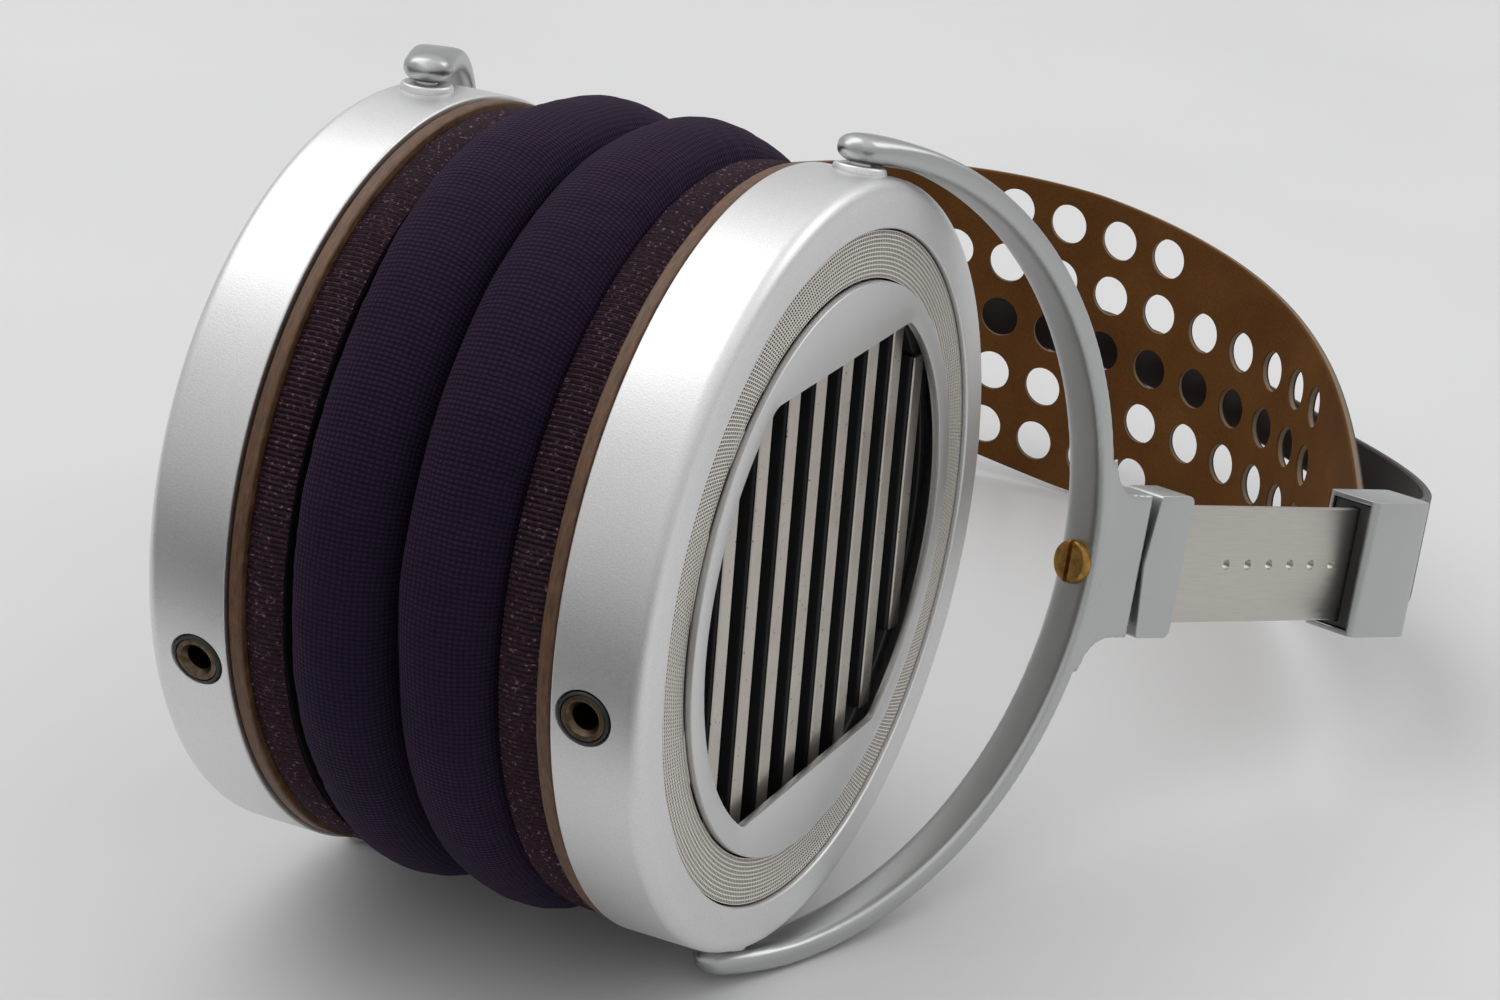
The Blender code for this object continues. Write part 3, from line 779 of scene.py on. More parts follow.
def punched_tree():
    tree = Repeat("punched_ring", {
        "Rows": ("Int", HOLE_ROWS), "Holes round": ("Int", HOLES_ROUND), "Bore": ("Float", SHEET_BORE),
        "Outer radius": ("Float", SHEET_RADIUS), "Hole share": ("Float", HOLE_SHARE),
        "Thickness": ("Float", SHEET_THICKNESS)})
    rows, count = tree.input("Rows"), tree.input("Holes round")
    grid = tree.node("GeometryNodeMeshGrid", {}, {
        "Size X": 1.0, "Size Y": 1.0, "Vertices X": rows + 1, "Vertices Y": count + 1})
    spot = tree.node("GeometryNodeInputPosition")
    across = tree.part(spot, 0) + 0.5
    around = tree.part(spot, 1) + 0.5
    angle = (around + across * rows * 0.5 / count) * (2 * math.pi)
    radius = tree.input("Bore") + across * (tree.input("Outer radius") - tree.input("Bore"))
    bent = tree.node("GeometryNodeSetPosition", {}, {"Geometry": grid, "Position": tree.vector(
        0.0, radius * angle.cosine(), radius * angle.sine())})
    whole = tree.node("GeometryNodeMergeByDistance", {}, {"Geometry": bent, "Distance": WELD})
    inset = tree.tree.nodes.new("GeometryNodeExtrudeMesh")
    inset.mode = "FACES"
    tree.give(inset.inputs["Mesh"], whole)
    tree.give(inset.inputs["Offset Scale"], 0.0)
    tree.give(inset.inputs["Individual"], True)
    shrunk = tree.node("GeometryNodeScaleElements", {"domain": "FACE"}, {
        "Geometry": Value(tree, inset.outputs["Mesh"]), "Selection": Value(tree, inset.outputs["Top"]),
        "Scale": tree.input("Hole share")})
    pierced = tree.node("GeometryNodeDeleteGeometry", {"domain": "FACE"}, {
        "Geometry": shrunk, "Selection": Value(tree, inset.outputs["Top"])})
    front = tree.node("GeometryNodeExtrudeMesh", {"mode": "FACES"}, {
        "Mesh": pierced, "Offset": tree.vector(1.0, 0.0, 0.0), "Offset Scale": tree.input("Thickness"),
        "Individual": False})
    both = tree.tree.nodes.new("GeometryNodeJoinGeometry")
    tree.tree.links.new(pierced.socket, both.inputs[0])
    tree.tree.links.new(front.socket, both.inputs[0])
    joined = tree.node("GeometryNodeMergeByDistance", {}, {
        "Geometry": Value(tree, both.outputs[0]), "Distance": WELD})
    tree.output(joined, SHEET.material)
    return tree


def carrier(name):
    """An empty object for a node tree to fill."""
    return linked(name, bpy.data.meshes.new(name))


def make_sheet(half, tree):
    sheet = tree.apply(carrier(half.label + "_punched_sheet"))
    place_mesh(sheet, half.ring @ Matrix.Translation((SHEET_BACK, 0, 0)))
    fitted(sheet, SHEET, half.label + "_cup", "perforated_mesh", half.label + "_mesh_annulus")
    # A dark brown sheet just behind the holes is painted shade, so that they look dark.
    section = ring_section(HOLE_SHADE_START, HOLE_SHADE_END, SHEET_BORE + FIT, SHEET_RADIUS)
    shade_sheet = new_object(half.label + "_sheet_backing",
                         turned(rounded(section, HOLE_SHADE_EDGE, 2), 192), half.ring)
    fitted(shade_sheet, HOLE_SHADE, half.label + "_cup", "black_trim")
    return sheet


punched = punched_tree()
for half in HALVES:
    print(make_sheet(half, punched).name, "made")

# %% [markdown]
# ## The plate and its window
# The plate is a turned disc that stands a little proud of the sheet, with a crisp edge. Its window
# is a circle cut off by two parallel lines, turned a little, with rounded corners.

# %% Grille plate
PLATE_RADIUS, PLATE_BACK, PLATE_FRONT = 0.0396, 0.0117, 0.0128
WINDOW_RADIUS, WINDOW_HALF, DRIVER_SLANT = 0.0362, 0.0297, math.radians(13.0)
WINDOW_CORNER, WINDOW_BEVEL, PLATE_EDGE = 0.0035, 0.00016, 0.00022


def window_outline():
    corner = math.asin(WINDOW_HALF / WINDOW_RADIUS)
    steps = 30
    points, radii = [], []
    for start in (-corner, math.pi - corner):
        for i in range(steps + 1):
            a = start + 2 * corner * i / steps + DRIVER_SLANT
            points.append((WINDOW_RADIUS * math.cos(a), WINDOW_RADIUS * math.sin(a)))
            radii.append(WINDOW_CORNER if i in (0, steps) else 0)
    return rounded(points, radii, 8)


def make_plate(half):
    section = ring_section(PLATE_BACK, PLATE_FRONT, 0, PLATE_RADIUS)
    outline = rounded(section, [0, 0, PLATE_EDGE, 0], 4)
    plate = new_object(half.label + "_plate", turned(outline, 288), half.ring)
    boolean(plate, sawn(window_outline(), PLATE_BACK - 2 * PAST, PLATE_FRONT + 2 * PAST), half.ring)
    bevelled(plate, WINDOW_BEVEL, 2, 60)
    return fitted(plate, FACE, half.label + "_cup", "aluminium_beadblasted", half.label + "_grille_plate")


for half in HALVES:
    print(make_plate(half).name)

# %% [markdown]
# ## The magnet bars
# Straight bars of one rounded section, side by side, each as long as the round opening is wide at
# its place. The tree sweeps the section once and puts a stretched copy on each point of a line. It
# is used twice: for the black cores of the bars and for the bright strip on each core's front.

# %% Magnet bars
BAR_PITCH, BAR_WIDTH, BAR_DEPTH, STRIP_DEPTH = 0.0082, 0.0032, 0.0032, 0.0004
BAR_COUNT, BAR_REACH, CORE_CORNER, STRIP_CORNER = 9, 0.0388, 0.0003, 0.00018
RIM_INSIDE, RIM_OUTSIDE, RIM_EDGE = BAR_REACH - 0.0008, BAR_REACH + 0.0013, 0.0004
OUTER_BARS_BACK, INNER_BARS_BACK = 0.006, -0.0014


def bar_tree(name, width, depth, corner, paint):
    tree = Repeat(name, {
        "Bars": ("Int", BAR_COUNT), "Pitch": ("Float", BAR_PITCH), "Width": ("Float", width),
        "Depth": ("Float", depth), "Corner": ("Float", corner), "Reach": ("Float", BAR_REACH)})
    section = tree.node("GeometryNodeCurvePrimitiveQuadrilateral", {}, {
        "Width": tree.input("Depth"), "Height": tree.input("Width")})
    section = tree.node("GeometryNodeFilletCurve", {}, {"Curve": section, "Radius": tree.input("Corner")})
    section = tree.node("GeometryNodeResampleCurve", {}, {"Curve": section, "Count": 48})
    line = tree.node("GeometryNodeCurvePrimitiveLine", {}, {"Start": (0, 0, -1), "End": (0, 0, 1)})
    bar = tree.node("GeometryNodeCurveToMesh", {}, {
        "Curve": line, "Profile Curve": section, "Fill Caps": True})
    count, pitch = tree.input("Bars"), tree.input("Pitch")
    points = tree.node("GeometryNodeMeshLine", {}, {
        "Count": count, "Start Location": tree.vector(0.0, (1 - count) * pitch * 0.5, 0.0),
        "Offset": tree.vector(0.0, pitch, 0.0)})
    spot = tree.part(tree.node("GeometryNodeInputPosition"), 1)
    length = (tree.input("Reach") ** 2.0 - spot * spot).root()
    placed = tree.node("GeometryNodeInstanceOnPoints", {}, {
        "Points": points, "Instance": bar, "Scale": tree.vector(1.0, 1.0, length)})
    tree.output(tree.node("GeometryNodeRealizeInstances", {}, {"Geometry": placed}), paint.material)
    return tree


def make_bars(half, cores, strips):
    slanted = Matrix.Rotation(DRIVER_SLANT, 4, "X")
    for name, back in (("outer", OUTER_BARS_BACK), ("inner", INNER_BARS_BACK)):
        core = cores.apply(carrier("%s_%s_bar_cores" % (half.label, name)))
        front = back + BAR_DEPTH
        place_mesh(core, half.ring @ Matrix.Translation((back + BAR_DEPTH / 2, 0, 0)) @ slanted)
        fitted(core, BLACK, half.label + "_cup", "black_trim")
        strip = strips.apply(carrier("%s_%s_bars" % (half.label, name)))
        place_mesh(strip, half.ring @ Matrix.Translation((front + STRIP_DEPTH / 2, 0, 0)) @ slanted)
        fitted(strip, BARS, half.label + "_cup", "magnet_bars", "%s_%s_magnets" % (half.label, name))
        section = ring_section(back, front, RIM_INSIDE, RIM_OUTSIDE)
        rim = new_object("%s_%s_bar_carrier" % (half.label, name),
                         turned(rounded(section, RIM_EDGE, 3), 160), half.ring)
        fitted(rim, BLACK, half.label + "_cup", "black_trim")


cores = bar_tree("bar_cores", BAR_WIDTH - FIT, BAR_DEPTH, CORE_CORNER, BLACK)
strips = bar_tree("bar_strips", BAR_WIDTH, STRIP_DEPTH, STRIP_CORNER, BARS)
for half in HALVES:
    make_bars(half, cores, strips)
    print(half.label, "bars made")

# %% [markdown]
# ## The plain rings behind the plate
# The driver frame, the film, the veneer and the baffle are all turned from one small drawing each.
# They are mostly hidden, but the headset may be seen from any side and at any tilt.

# %% Driver frame, film, veneer and baffle
PLAIN_RINGS = [
    ("driver_frame", "frame_ring", 0.003, 0.0057, 0.0365, 0.042, 0.0004, BLACK, "black_trim"),
    ("diaphragm", "film", 0.0023, 0.0026, 0.0, 0.0415, 0.00005, FILM, "diaphragm_film"),
    ("veneer_ring", "veneer", -0.0023, -0.0003, 0.046, 0.0527, 0.0004, VENEER, "wood_veneer"),
    ("baffle", "baffle_ring", -0.0023, -0.0003, 0.0378, 0.0457, 0.0003, BLACK, "black_trim"),
]


def make_plain_ring(half, node, name, back, front, bore, radius, edge, paint, slot):
    corners = [0 if bore == 0 else edge, edge, edge, 0 if bore == 0 else edge]
    section = ring_section(back, front, bore, radius)
    made = new_object("%s_%s" % (half.label, name), turned(rounded(section, corners, 4), 224), half.ring)
    return fitted(made, paint, half.label + "_cup", slot, "%s_%s" % (half.label, node))


for half in HALVES:
    for row in PLAIN_RINGS:
        make_plain_ring(half, *row)
    fitted_lead = frame["nodes"][half.label + "_driver_lead"]
    fitted_lead.data.materials.clear()
    fitted_lead.data.materials.append(BLACK.material)
    print(half.label, "plain rings made")

# %% [markdown]
# ## The socket
# Each cup has a 3.5 mm socket in the lower part of its wall: a black bush with a round lip, and in
# it a brass sleeve whose mouth opens in a wide chamfer.

# %% Sockets
BUSH_RADIUS, SLEEVE_RADIUS, SLEEVE_BORE = 0.0036, 0.0031, 0.00178
SOCKET_DEEP, BUSH_FACE, SLEEVE_FACE = 0.043, RING_RADIUS + 0.00015, RING_RADIUS + 0.0001
SLEEVE_START, SLEEVE_FLOOR, MOUTH_WIDER, MOUTH_DEEP = 0.0435, 0.045, 0.0006, 0.0007


def make_socket(half):
    place = jack_place(half)
    section = ring_section(SOCKET_DEEP, BUSH_FACE, SLEEVE_RADIUS + FIT / 2, BUSH_RADIUS)
    bush = rounded(section, [0, 0, 0.0004, 0.0002], 5)
    made = new_object(half.label + "_socket_bush", turned(bush, 96, "Y"), place)
    fitted(made, BLACK, half.label + "_cup", "black_trim", half.label + "_jack_housing")
    sleeve = rounded(
        [(SLEEVE_START, 0), (SLEEVE_START, SLEEVE_RADIUS), (SLEEVE_FACE, SLEEVE_RADIUS),
         (SLEEVE_FACE, SLEEVE_BORE + MOUTH_WIDER), (RING_RADIUS - MOUTH_DEEP, SLEEVE_BORE),
         (SLEEVE_FLOOR, SLEEVE_BORE), (SLEEVE_FLOOR, 0)], [0, 0, 0.00015, 0.0001, 0.0003, 0.0003, 0], 4)
    made = new_object(half.label + "_socket_sleeve", turned(sleeve, 96, "Y"), place)
    fitted(made, BRASS, half.label + "_cup", "brass_fittings", half.label + "_jack_sleeve")


for half in HALVES:
    make_socket(half)
    print(half.label, "socket made")

# %% [markdown]
# ## The ribbed elastic
# Round the pad's foot runs an elastic with ribs across it. The ground is turned, and the ribs are
# one short bowed thread that a tree copies round it, 460 times.

# %% Elastic band
BAND_FRONT, BAND_BACK, BAND_BORE, BAND_RADIUS = -0.0026, -0.0081, 0.044, 0.0519
RIB_COUNT, RIB_THICKNESS, RIB_BOW = 460, 0.00036, 0.0009


def rib_tree():
    tree = Repeat("elastic_ribs", {
        "Ribs": ("Int", RIB_COUNT), "Radius": ("Float", BAND_RADIUS - 0.0004),
        "Half width": ("Float", (BAND_FRONT - BAND_BACK) / 2 - 0.0001),
        "Bow": ("Float", RIB_BOW), "Thickness": ("Float", RIB_THICKNESS)})
    half_width, bow, ribs = tree.input("Half width"), tree.input("Bow"), tree.input("Ribs")
    thread = tree.node("GeometryNodeCurveQuadraticBezier", {}, {
        "Resolution": 6, "Start": tree.vector(0 - half_width, 0.0, 0.0),
        "Middle": tree.vector(0.0, bow, 0.0), "End": tree.vector(half_width, 0.0, 0.0)})
    section = tree.node("GeometryNodeCurvePrimitiveCircle", {}, {
        "Resolution": 6, "Radius": tree.input("Thickness")})
    thread = tree.node("GeometryNodeCurveToMesh", {}, {
        "Curve": thread, "Profile Curve": section, "Fill Caps": True})
    points = tree.node("GeometryNodePoints", {}, {"Count": ribs})
    angle = tree.node("GeometryNodeInputIndex") / ribs * (2 * math.pi)
    radius = tree.input("Radius")
    points = tree.node("GeometryNodeSetPosition", {}, {
        "Geometry": points, "Position": tree.vector(0.0, radius * angle.cosine(), radius * angle.sine())})
    placed = tree.node("GeometryNodeInstanceOnPoints", {}, {
        "Points": points, "Instance": thread, "Rotation": tree.vector(angle, 0.0, 0.0)})
    tree.output(tree.node("GeometryNodeRealizeInstances", {}, {"Geometry": placed}), RIBS.material)
    return tree


def make_band(half, tree):
    shoulder = BAND_RADIUS - 0.0007
    ground = rounded(
        [(BAND_BACK, BAND_BORE), (BAND_BACK, shoulder), (-0.0053, BAND_RADIUS - 0.0001),
         (BAND_FRONT, shoulder), (BAND_FRONT, BAND_BORE)], [0, 0.0003, 0.002, 0.0003, 0], 4)
    base = new_object(half.label + "_band_ground", turned(ground, 230), half.ring)
    fitted(base, UNDER, half.label + "_cup", "elastic_band", half.label + "_pad_band")
    ribs = tree.apply(carrier(half.label + "_band_ribs"))
    place_mesh(ribs, half.ring @ Matrix.Translation(((BAND_FRONT + BAND_BACK) / 2, 0, 0)))
    fitted(ribs, RIBS, half.label + "_cup", "elastic_band")


rib_repeat = rib_tree()
for half in HALVES:
    make_band(half, rib_repeat)
    print(half.label, "band made")

# %% [markdown]
# ## The ear pads
# A pad is a ring of soft foam in a knitted cover. Its section is a squared circle, drawn a little
# lean, and a cloth simulation lets pressure swell it. Slow noise adds the unevenness of stuffed
# fabric. The two pads rest on each other, so each is flat where they meet. The map is worked out at
# the end, because the remesh drops it: it counts stitches both ways round.

# %% Pad shape and simulation
PAD_BACK, PAD_FACE = -0.0084, -0.0239
PAD_BORE, PAD_RADIUS = 0.0330, 0.0545
PAD_MIDDLE = ((PAD_BACK + PAD_FACE) / 2, (PAD_BORE + PAD_RADIUS) / 2)
PAD_HALF = ((PAD_BACK - PAD_FACE) / 2, (PAD_RADIUS - PAD_BORE) / 2)
VOXEL, PRESSURE, FRAMES, MOST_MOVE = 0.0022, 4.0, 20, 0.0012
WALES, ROWS = 520, 96
PAD_LEAN = 0.955
UNEVEN, PULL = 0.0006, 0.00022     # how high the slow waves and the short pulls are
MEETING_GAP = 0.00012
SLACK, SLACK_ANGLE = 0.0024, math.radians(110)     # the foam sits a little high in its loose cover


def pad_section(steps=28):
    """The section of the pad's ring: a squared circle that is fuller at the outside."""
    points = []
    for i in range(steps):
        a = 2 * math.pi * (i + 0.5) / steps
        power = 0.62 if math.sin(a) > 0 else 0.8
        x = PAD_HALF[0] * PAD_LEAN * math.copysign(abs(math.cos(a)) ** 0.72, math.cos(a))
        y = PAD_HALF[1] * PAD_LEAN * math.copysign(abs(math.sin(a)) ** power, math.sin(a))
        points.append((PAD_MIDDLE[0] + x, PAD_MIDDLE[1] + y))
    return points


def blown_up(obj):
    """Remeshes the ring evenly and lets pressure swell it, each point by a limited amount."""
    modify(obj, "REMESH", mode="VOXEL", voxel_size=VOXEL)
    settled(obj, ALL_SMOOTH)
    start = np.array([v.co for v in obj.data.vertices])
    cloth = obj.modifiers.new("cloth", "CLOTH")
    cloth.settings.use_pressure = True
    cloth.settings.uniform_pressure_force = PRESSURE
    cloth.settings.effector_weights.gravity = 0
    cloth.settings.quality = 4
    scene = bpy.context.scene
    for number in range(1, FRAMES + 1):
        scene.frame_set(number)
    settled(obj, ALL_SMOOTH)
    scene.frame_set(1)
    moved = np.array([v.co for v in obj.data.vertices]) - start
    length = np.linalg.norm(moved, axis=1, keepdims=True)
    moved *= np.minimum(1, MOST_MOVE / np.maximum(length, 1e-9))
    obj.data.vertices.foreach_set("co", (start + moved).astype(np.float32).ravel())
    return float(length.max())


def smoothed_and_rumpled(obj, half, seed):
    """Rounds off the remesh, adds the cover's slow unevenness and short pulls at its back edge."""
    modify(obj, "SMOOTH", factor=0.5, iterations=6)
    modify(obj, "SUBSURF", levels=1, render_levels=1)
    settled(obj, ALL_SMOOTH)
    back = half.ring.inverted()
    for vertex in obj.data.vertices:
        x, y, z = back @ vertex.co
        radius, angle = math.hypot(y, z), math.atan2(z, y)
        away = Vector((x - PAD_MIDDLE[0], radius - PAD_MIDDLE[1]))
        out = away.normalized()
        around = Vector((math.cos(angle), math.sin(angle), seed))
        slow = noise.noise(around * 2.6) * UNEVEN
        pulls = noise.noise(Vector((around.x * 26, around.y * 26, x * 220 + seed))) * PULL
        near_back = min(1, max(0, (x - PAD_MIDDLE[0]) / PAD_HALF[0] + 0.2))
        outer = max(0, out.y)
        slack = SLACK * 0.5 * (1 + math.cos(angle - SLACK_ANGLE))
        shift = (slow + slack) * outer + pulls * near_back * outer
        x += out.x * shift
        radius += out.y * shift
        x = max(x, PAD_FACE + MEETING_GAP)
        vertex.co = half.ring @ Vector((x, radius * math.cos(angle), radius * math.sin(angle)))


def stitch_map(obj, half):
    """A map in stitches: u round the ring, v round its section."""
    back = half.ring.inverted()
    spots = []
    for vertex in obj.data.vertices:
        x, y, z = back @ vertex.co
        spots.append((math.atan2(z, y) / (2 * math.pi),
                      math.atan2(math.hypot(y, z) - PAD_MIDDLE[1], x - PAD_MIDDLE[0]) / (2 * math.pi)))
    chart = obj.data.uv_layers.new(name="map")
    for face in obj.data.polygons:
        first = spots[obj.data.loops[face.loop_start].vertex_index]
        for i in face.loop_indices:
            u, v = spots[obj.data.loops[i].vertex_index]
            u -= round(u - first[0])
            v -= round(v - first[1])
            chart.data[i].uv = (u * WALES, v * ROWS)


def make_pad(half, seed):
    pad = new_object(half.label + "_pad", turned(pad_section(), 160), half.ring)
    most = blown_up(pad)
    smoothed_and_rumpled(pad, half, seed)
    stitch_map(pad, half)
    fitted(pad, KNIT, half.label + "_cup", "pad_knit", half.label + "_ear_pad")
    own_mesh(pad)
    return most


for seed, half in enumerate(HALVES):
    most = make_pad(half, 3.1 + 4 * seed)
    print(half.label, "pad swelled by up to %.2f mm before the limit" % (1000 * most))

# %% [markdown]
# ## Pivots and yokes
# The yoke is a flat bar bent round the cup. Its ends are domed like drops and sit on small
# bosses. At the top it flows through two hollow fillets into a flange. The arms are lofted and the
# flange is sawn, then both are joined, remeshed finely and smoothed, so that the fillets run as they
# do on a machined and blasted part.

# %% Tilt pivots
BOSS_RADIUS, BOSS_TOP, PIN_RADIUS, PIN_TOP = 0.0038, 0.0541, 0.0015, 0.0568
BOSS_FOOT = RING_RADIUS - FIT


def make_pivots(half):
    for end, sign in (("upper", 1), ("lower", -1)):
        outline = rounded(
            [(BOSS_FOOT, 0), (BOSS_FOOT, BOSS_RADIUS), (BOSS_TOP, BOSS_RADIUS - 0.0003),
             (BOSS_TOP, PIN_RADIUS), (PIN_TOP, PIN_RADIUS), (PIN_TOP, 0)],
            [0, 0.0002, 0.0004, 0, 0.0003, 0], 4)
        mirror = Matrix.Diagonal((1, 1, sign, 1))
        made = new_object("%s_%s_boss" % (half.label, end), turned(outline, 72, "Z"), half.pin @ mirror)
        fitted(made, ALUMINIUM, half.label + "_cup", "aluminium_beadblasted",
               "%s_%s_pivot" % (half.label, end))


# %% Yokes
YOKE_APEX, YOKE_REACH, YOKE_WIDTH, YOKE_THICKNESS = 0.0583, 0.0565, 0.007, 0.0034
YOKE_SWEEP = math.radians(93.6)
YOKE_VOXEL, PIN_HOLE = 0.00036, 0.0017
STEM_HALF_WIDTH, STEM_HALF_DEPTH, FLANGE_END = 0.0108, 0.0035, 0.0677
FLANGE_FILLET, FLANGE_HALF_DEPTH = 0.0055, STEM_HALF_DEPTH - 0.0003


def yoke_arms(steps=150, sides=28):
    rings = []
    end_share = YOKE_WIDTH / 2 / (YOKE_REACH * YOKE_SWEEP)
    for i in range(steps + 1):
        share = -1 + 2 * i / steps
        a = share * YOKE_SWEEP
        outward = Vector((0, math.cos(a) / YOKE_APEX, math.sin(a) / YOKE_REACH)).normalized()
        into_end = max(0, (abs(share) - (1 - end_share)) / end_share)
        width = YOKE_WIDTH / 2 * max(0.12, math.sqrt(max(0, 1 - into_end ** 2)))
        near_end = max(0, 1 - abs(abs(share) - (1 - end_share)) / (3 * end_share))
        centre = Vector((0, YOKE_APEX * math.cos(a), YOKE_REACH * math.sin(a)))
        centre -= outward * (0.0003 * near_end)
        dome = max(0.2, math.sqrt(max(0, 1 - into_end ** 2.4)))
        thick = YOKE_THICKNESS / 2 * (1 + 0.25 * near_end) * dome
        power = 0.45 + 0.5 * near_end
        rings.append([centre + Vector((width * math.copysign(abs(math.cos(b)) ** power, math.cos(b)), 0, 0))
                      + outward * (thick * math.copysign(abs(math.sin(b)) ** power, math.sin(b)))
                      for b in (2 * math.pi * k / sides for k in range(sides))])
    return lofted(rings)


def flange_outline():
    middle = (YOKE_APEX + 0.0058, STEM_HALF_WIDTH + FLANGE_FILLET)
    side = [(FLANGE_END, STEM_HALF_WIDTH)]
    side += [(middle[0] - FLANGE_FILLET * math.sin(a), middle[1] - FLANGE_FILLET * math.cos(a))
             for a in (math.radians(9 * i) for i in range(11))]
    side += [(YOKE_APEX - 0.0008, STEM_HALF_WIDTH + 0.0035), (YOKE_APEX - 0.0002, 0.004)]
    return side + [(y, -z) for y, z in reversed(side)]


def make_yoke(half):
    yoke = new_object(half.label + "_bent_yoke", yoke_arms(), half.stem)
    flange = sawn(flange_outline(), -FLANGE_HALF_DEPTH, FLANGE_HALF_DEPTH)
    boolean(yoke, flange, half.stem, "UNION")
    modify(yoke, "REMESH", mode="VOXEL", voxel_size=YOKE_VOXEL)
    modify(yoke, "SMOOTH", factor=0.5, iterations=6)
    settled(yoke, 60)
    for sign in (1, -1):
        hole = turned(ring_section(YOKE_REACH - 2 * PAST, PIN_TOP + FIT / 2, 0, PIN_HOLE), 40, "Z")
        boolean(yoke, hole, half.stem @ Matrix.Diagonal((1, 1, sign, 1)))
    settled(yoke, 50)
    return fitted(yoke, YOKE_METAL, half.label + "_yoke", "aluminium_beadblasted", half.label + "_yoke")


# %% Swivel screws
SCREW_HEAD, SCREW_SHANK, SCREW_TOP = 0.0032, 0.0015, YOKE_APEX - YOKE_THICKNESS / 2 + 0.0001
SCREW_THICK, SLOT_HALF, SLOT_DEEP = 0.0014, 0.0004, 0.0007
PLATE_START, SHANK_END = 0.0712, 0.0704


def make_screw(half):
    low = SCREW_TOP - SCREW_THICK
    outline = rounded(
        [(low, 0), (low, SCREW_HEAD), (SCREW_TOP, SCREW_HEAD), (SCREW_TOP, SCREW_SHANK),
         (SHANK_END, SCREW_SHANK), (SHANK_END, 0)], [0, 0.0006, 0, 0, 0.0002, 0], 5)
    screw = new_object(half.label + "_slotted_screw", turned(outline, 96, "Y"), half.stem)
    slot = block((-SLOT_HALF, SLOT_HALF), (low - PAST / 2, low + SLOT_DEEP), (-2 * PAST, 2 * PAST))
    boolean(screw, slot, half.stem)
    bevelled(screw, 0.00008, 2, 50)
    return fitted(screw, SCREW_BRASS, half.label + "_yoke", "brass_fittings", half.label + "_swivel_screw")


for half in HALVES:
    make_pivots(half)
    yoke = make_yoke(half)
    make_screw(half)
    print(yoke.name, len(yoke.data.polygons), "faces")

# %% [markdown]
# ## Stem, slider and end block
# Sawn and milled pieces. The stem block's face to the yoke slants away on both sides of the
# screw, which leaves a thin dark wedge when the yoke is straight. The slider is a thin plate with
# a row of detent holes, and it runs in a black liner in the end block.

# %% Stem block and slider plate
STEM_START, STEM_END, STEM_CROWN = 0.068, 0.0765, 0.0012
STEM_BEVEL, SCREW_HOLE = 0.0005, 0.0019
SLIDER_END, SLIDER_HALF, SLIDER_X, SLIDER_THICK = 0.125, 0.0089, 0.0013, 0.0012
DETENTS, DETENT_PITCH, FIRST_DETENT, DETENT_RADIUS = 6, 0.005, 0.0883, 0.0008
THIN_BEVEL = 0.00012


def room_for(middle, thick, half_width, start, end):
    """The cutter for a flat part that slides or sits in another one with a little play."""
    return block((middle - thick / 2 - FIT, middle + thick / 2 + FIT), (start, end),
                 (-half_width - FIT, half_width + FIT))


def slider_room(start, end):
    return room_for(SLIDER_X, SLIDER_THICK, SLIDER_HALF, start, end)


def make_stem(half):
    crown = STEM_START + STEM_CROWN
    outline = rounded(
        [(STEM_START, 0), (crown, STEM_HALF_WIDTH), (STEM_END, STEM_HALF_WIDTH),
         (STEM_END, -STEM_HALF_WIDTH), (crown, -STEM_HALF_WIDTH)],
        [0.004, 0.0006, 0.0012, 0.0012, 0.0006], 6)
    stem = new_object(half.label + "_stem", sawn(outline, -STEM_HALF_DEPTH, STEM_HALF_DEPTH), half.stem)
    boolean(stem, slider_room(PLATE_START - FIT, STEM_END + 5 * PAST), half.stem)
    screw_hole = ring_section(STEM_START - PAST, PLATE_START - 2 * FIT, 0, SCREW_HOLE)
    boolean(stem, turned(screw_hole, 40, "Y"), half.stem)
    bevelled(stem, STEM_BEVEL, 4, 40)
    return fitted(stem, YOKE_METAL, half.label + "_stem", "aluminium_beadblasted",
                  half.label + "_stem_block")


def make_slider(half):
    faces = (SLIDER_X - SLIDER_THICK / 2, SLIDER_X + SLIDER_THICK / 2)
    slider = new_object(half.label + "_slider", block(
        faces, (PLATE_START, SLIDER_END), (-SLIDER_HALF, SLIDER_HALF), 0.0006), half.stem)
    bevelled(slider, THIN_BEVEL, 2, 50)
    for i in range(DETENTS):
        hole = turned(ring_section(-PAST, PAST, 0, DETENT_RADIUS), 32)
        place = Matrix.Translation((SLIDER_X, FIRST_DETENT + i * DETENT_PITCH, 0))
        boolean(slider, hole, half.stem @ place)
    return fitted(slider, SLIDER_METAL, half.label + "_stem", "slider_steel",
                  half.label + "_slider_plate")


# %% End block and liner
BLOCK_START, BLOCK_END, BLOCK_IN, BLOCK_OUT = 0.117, 0.1315, -0.004, 0.0055
LINER_IN, LINER_OUT, LINER_HALF, LINER_END = -0.0028, 0.0043, 0.0098, 0.1242
ARCH_X, ARCH_THICK, ARCH_END_HALF = -0.0024, 0.0014, 0.0095
BLOCK_BEVEL = 0.00045


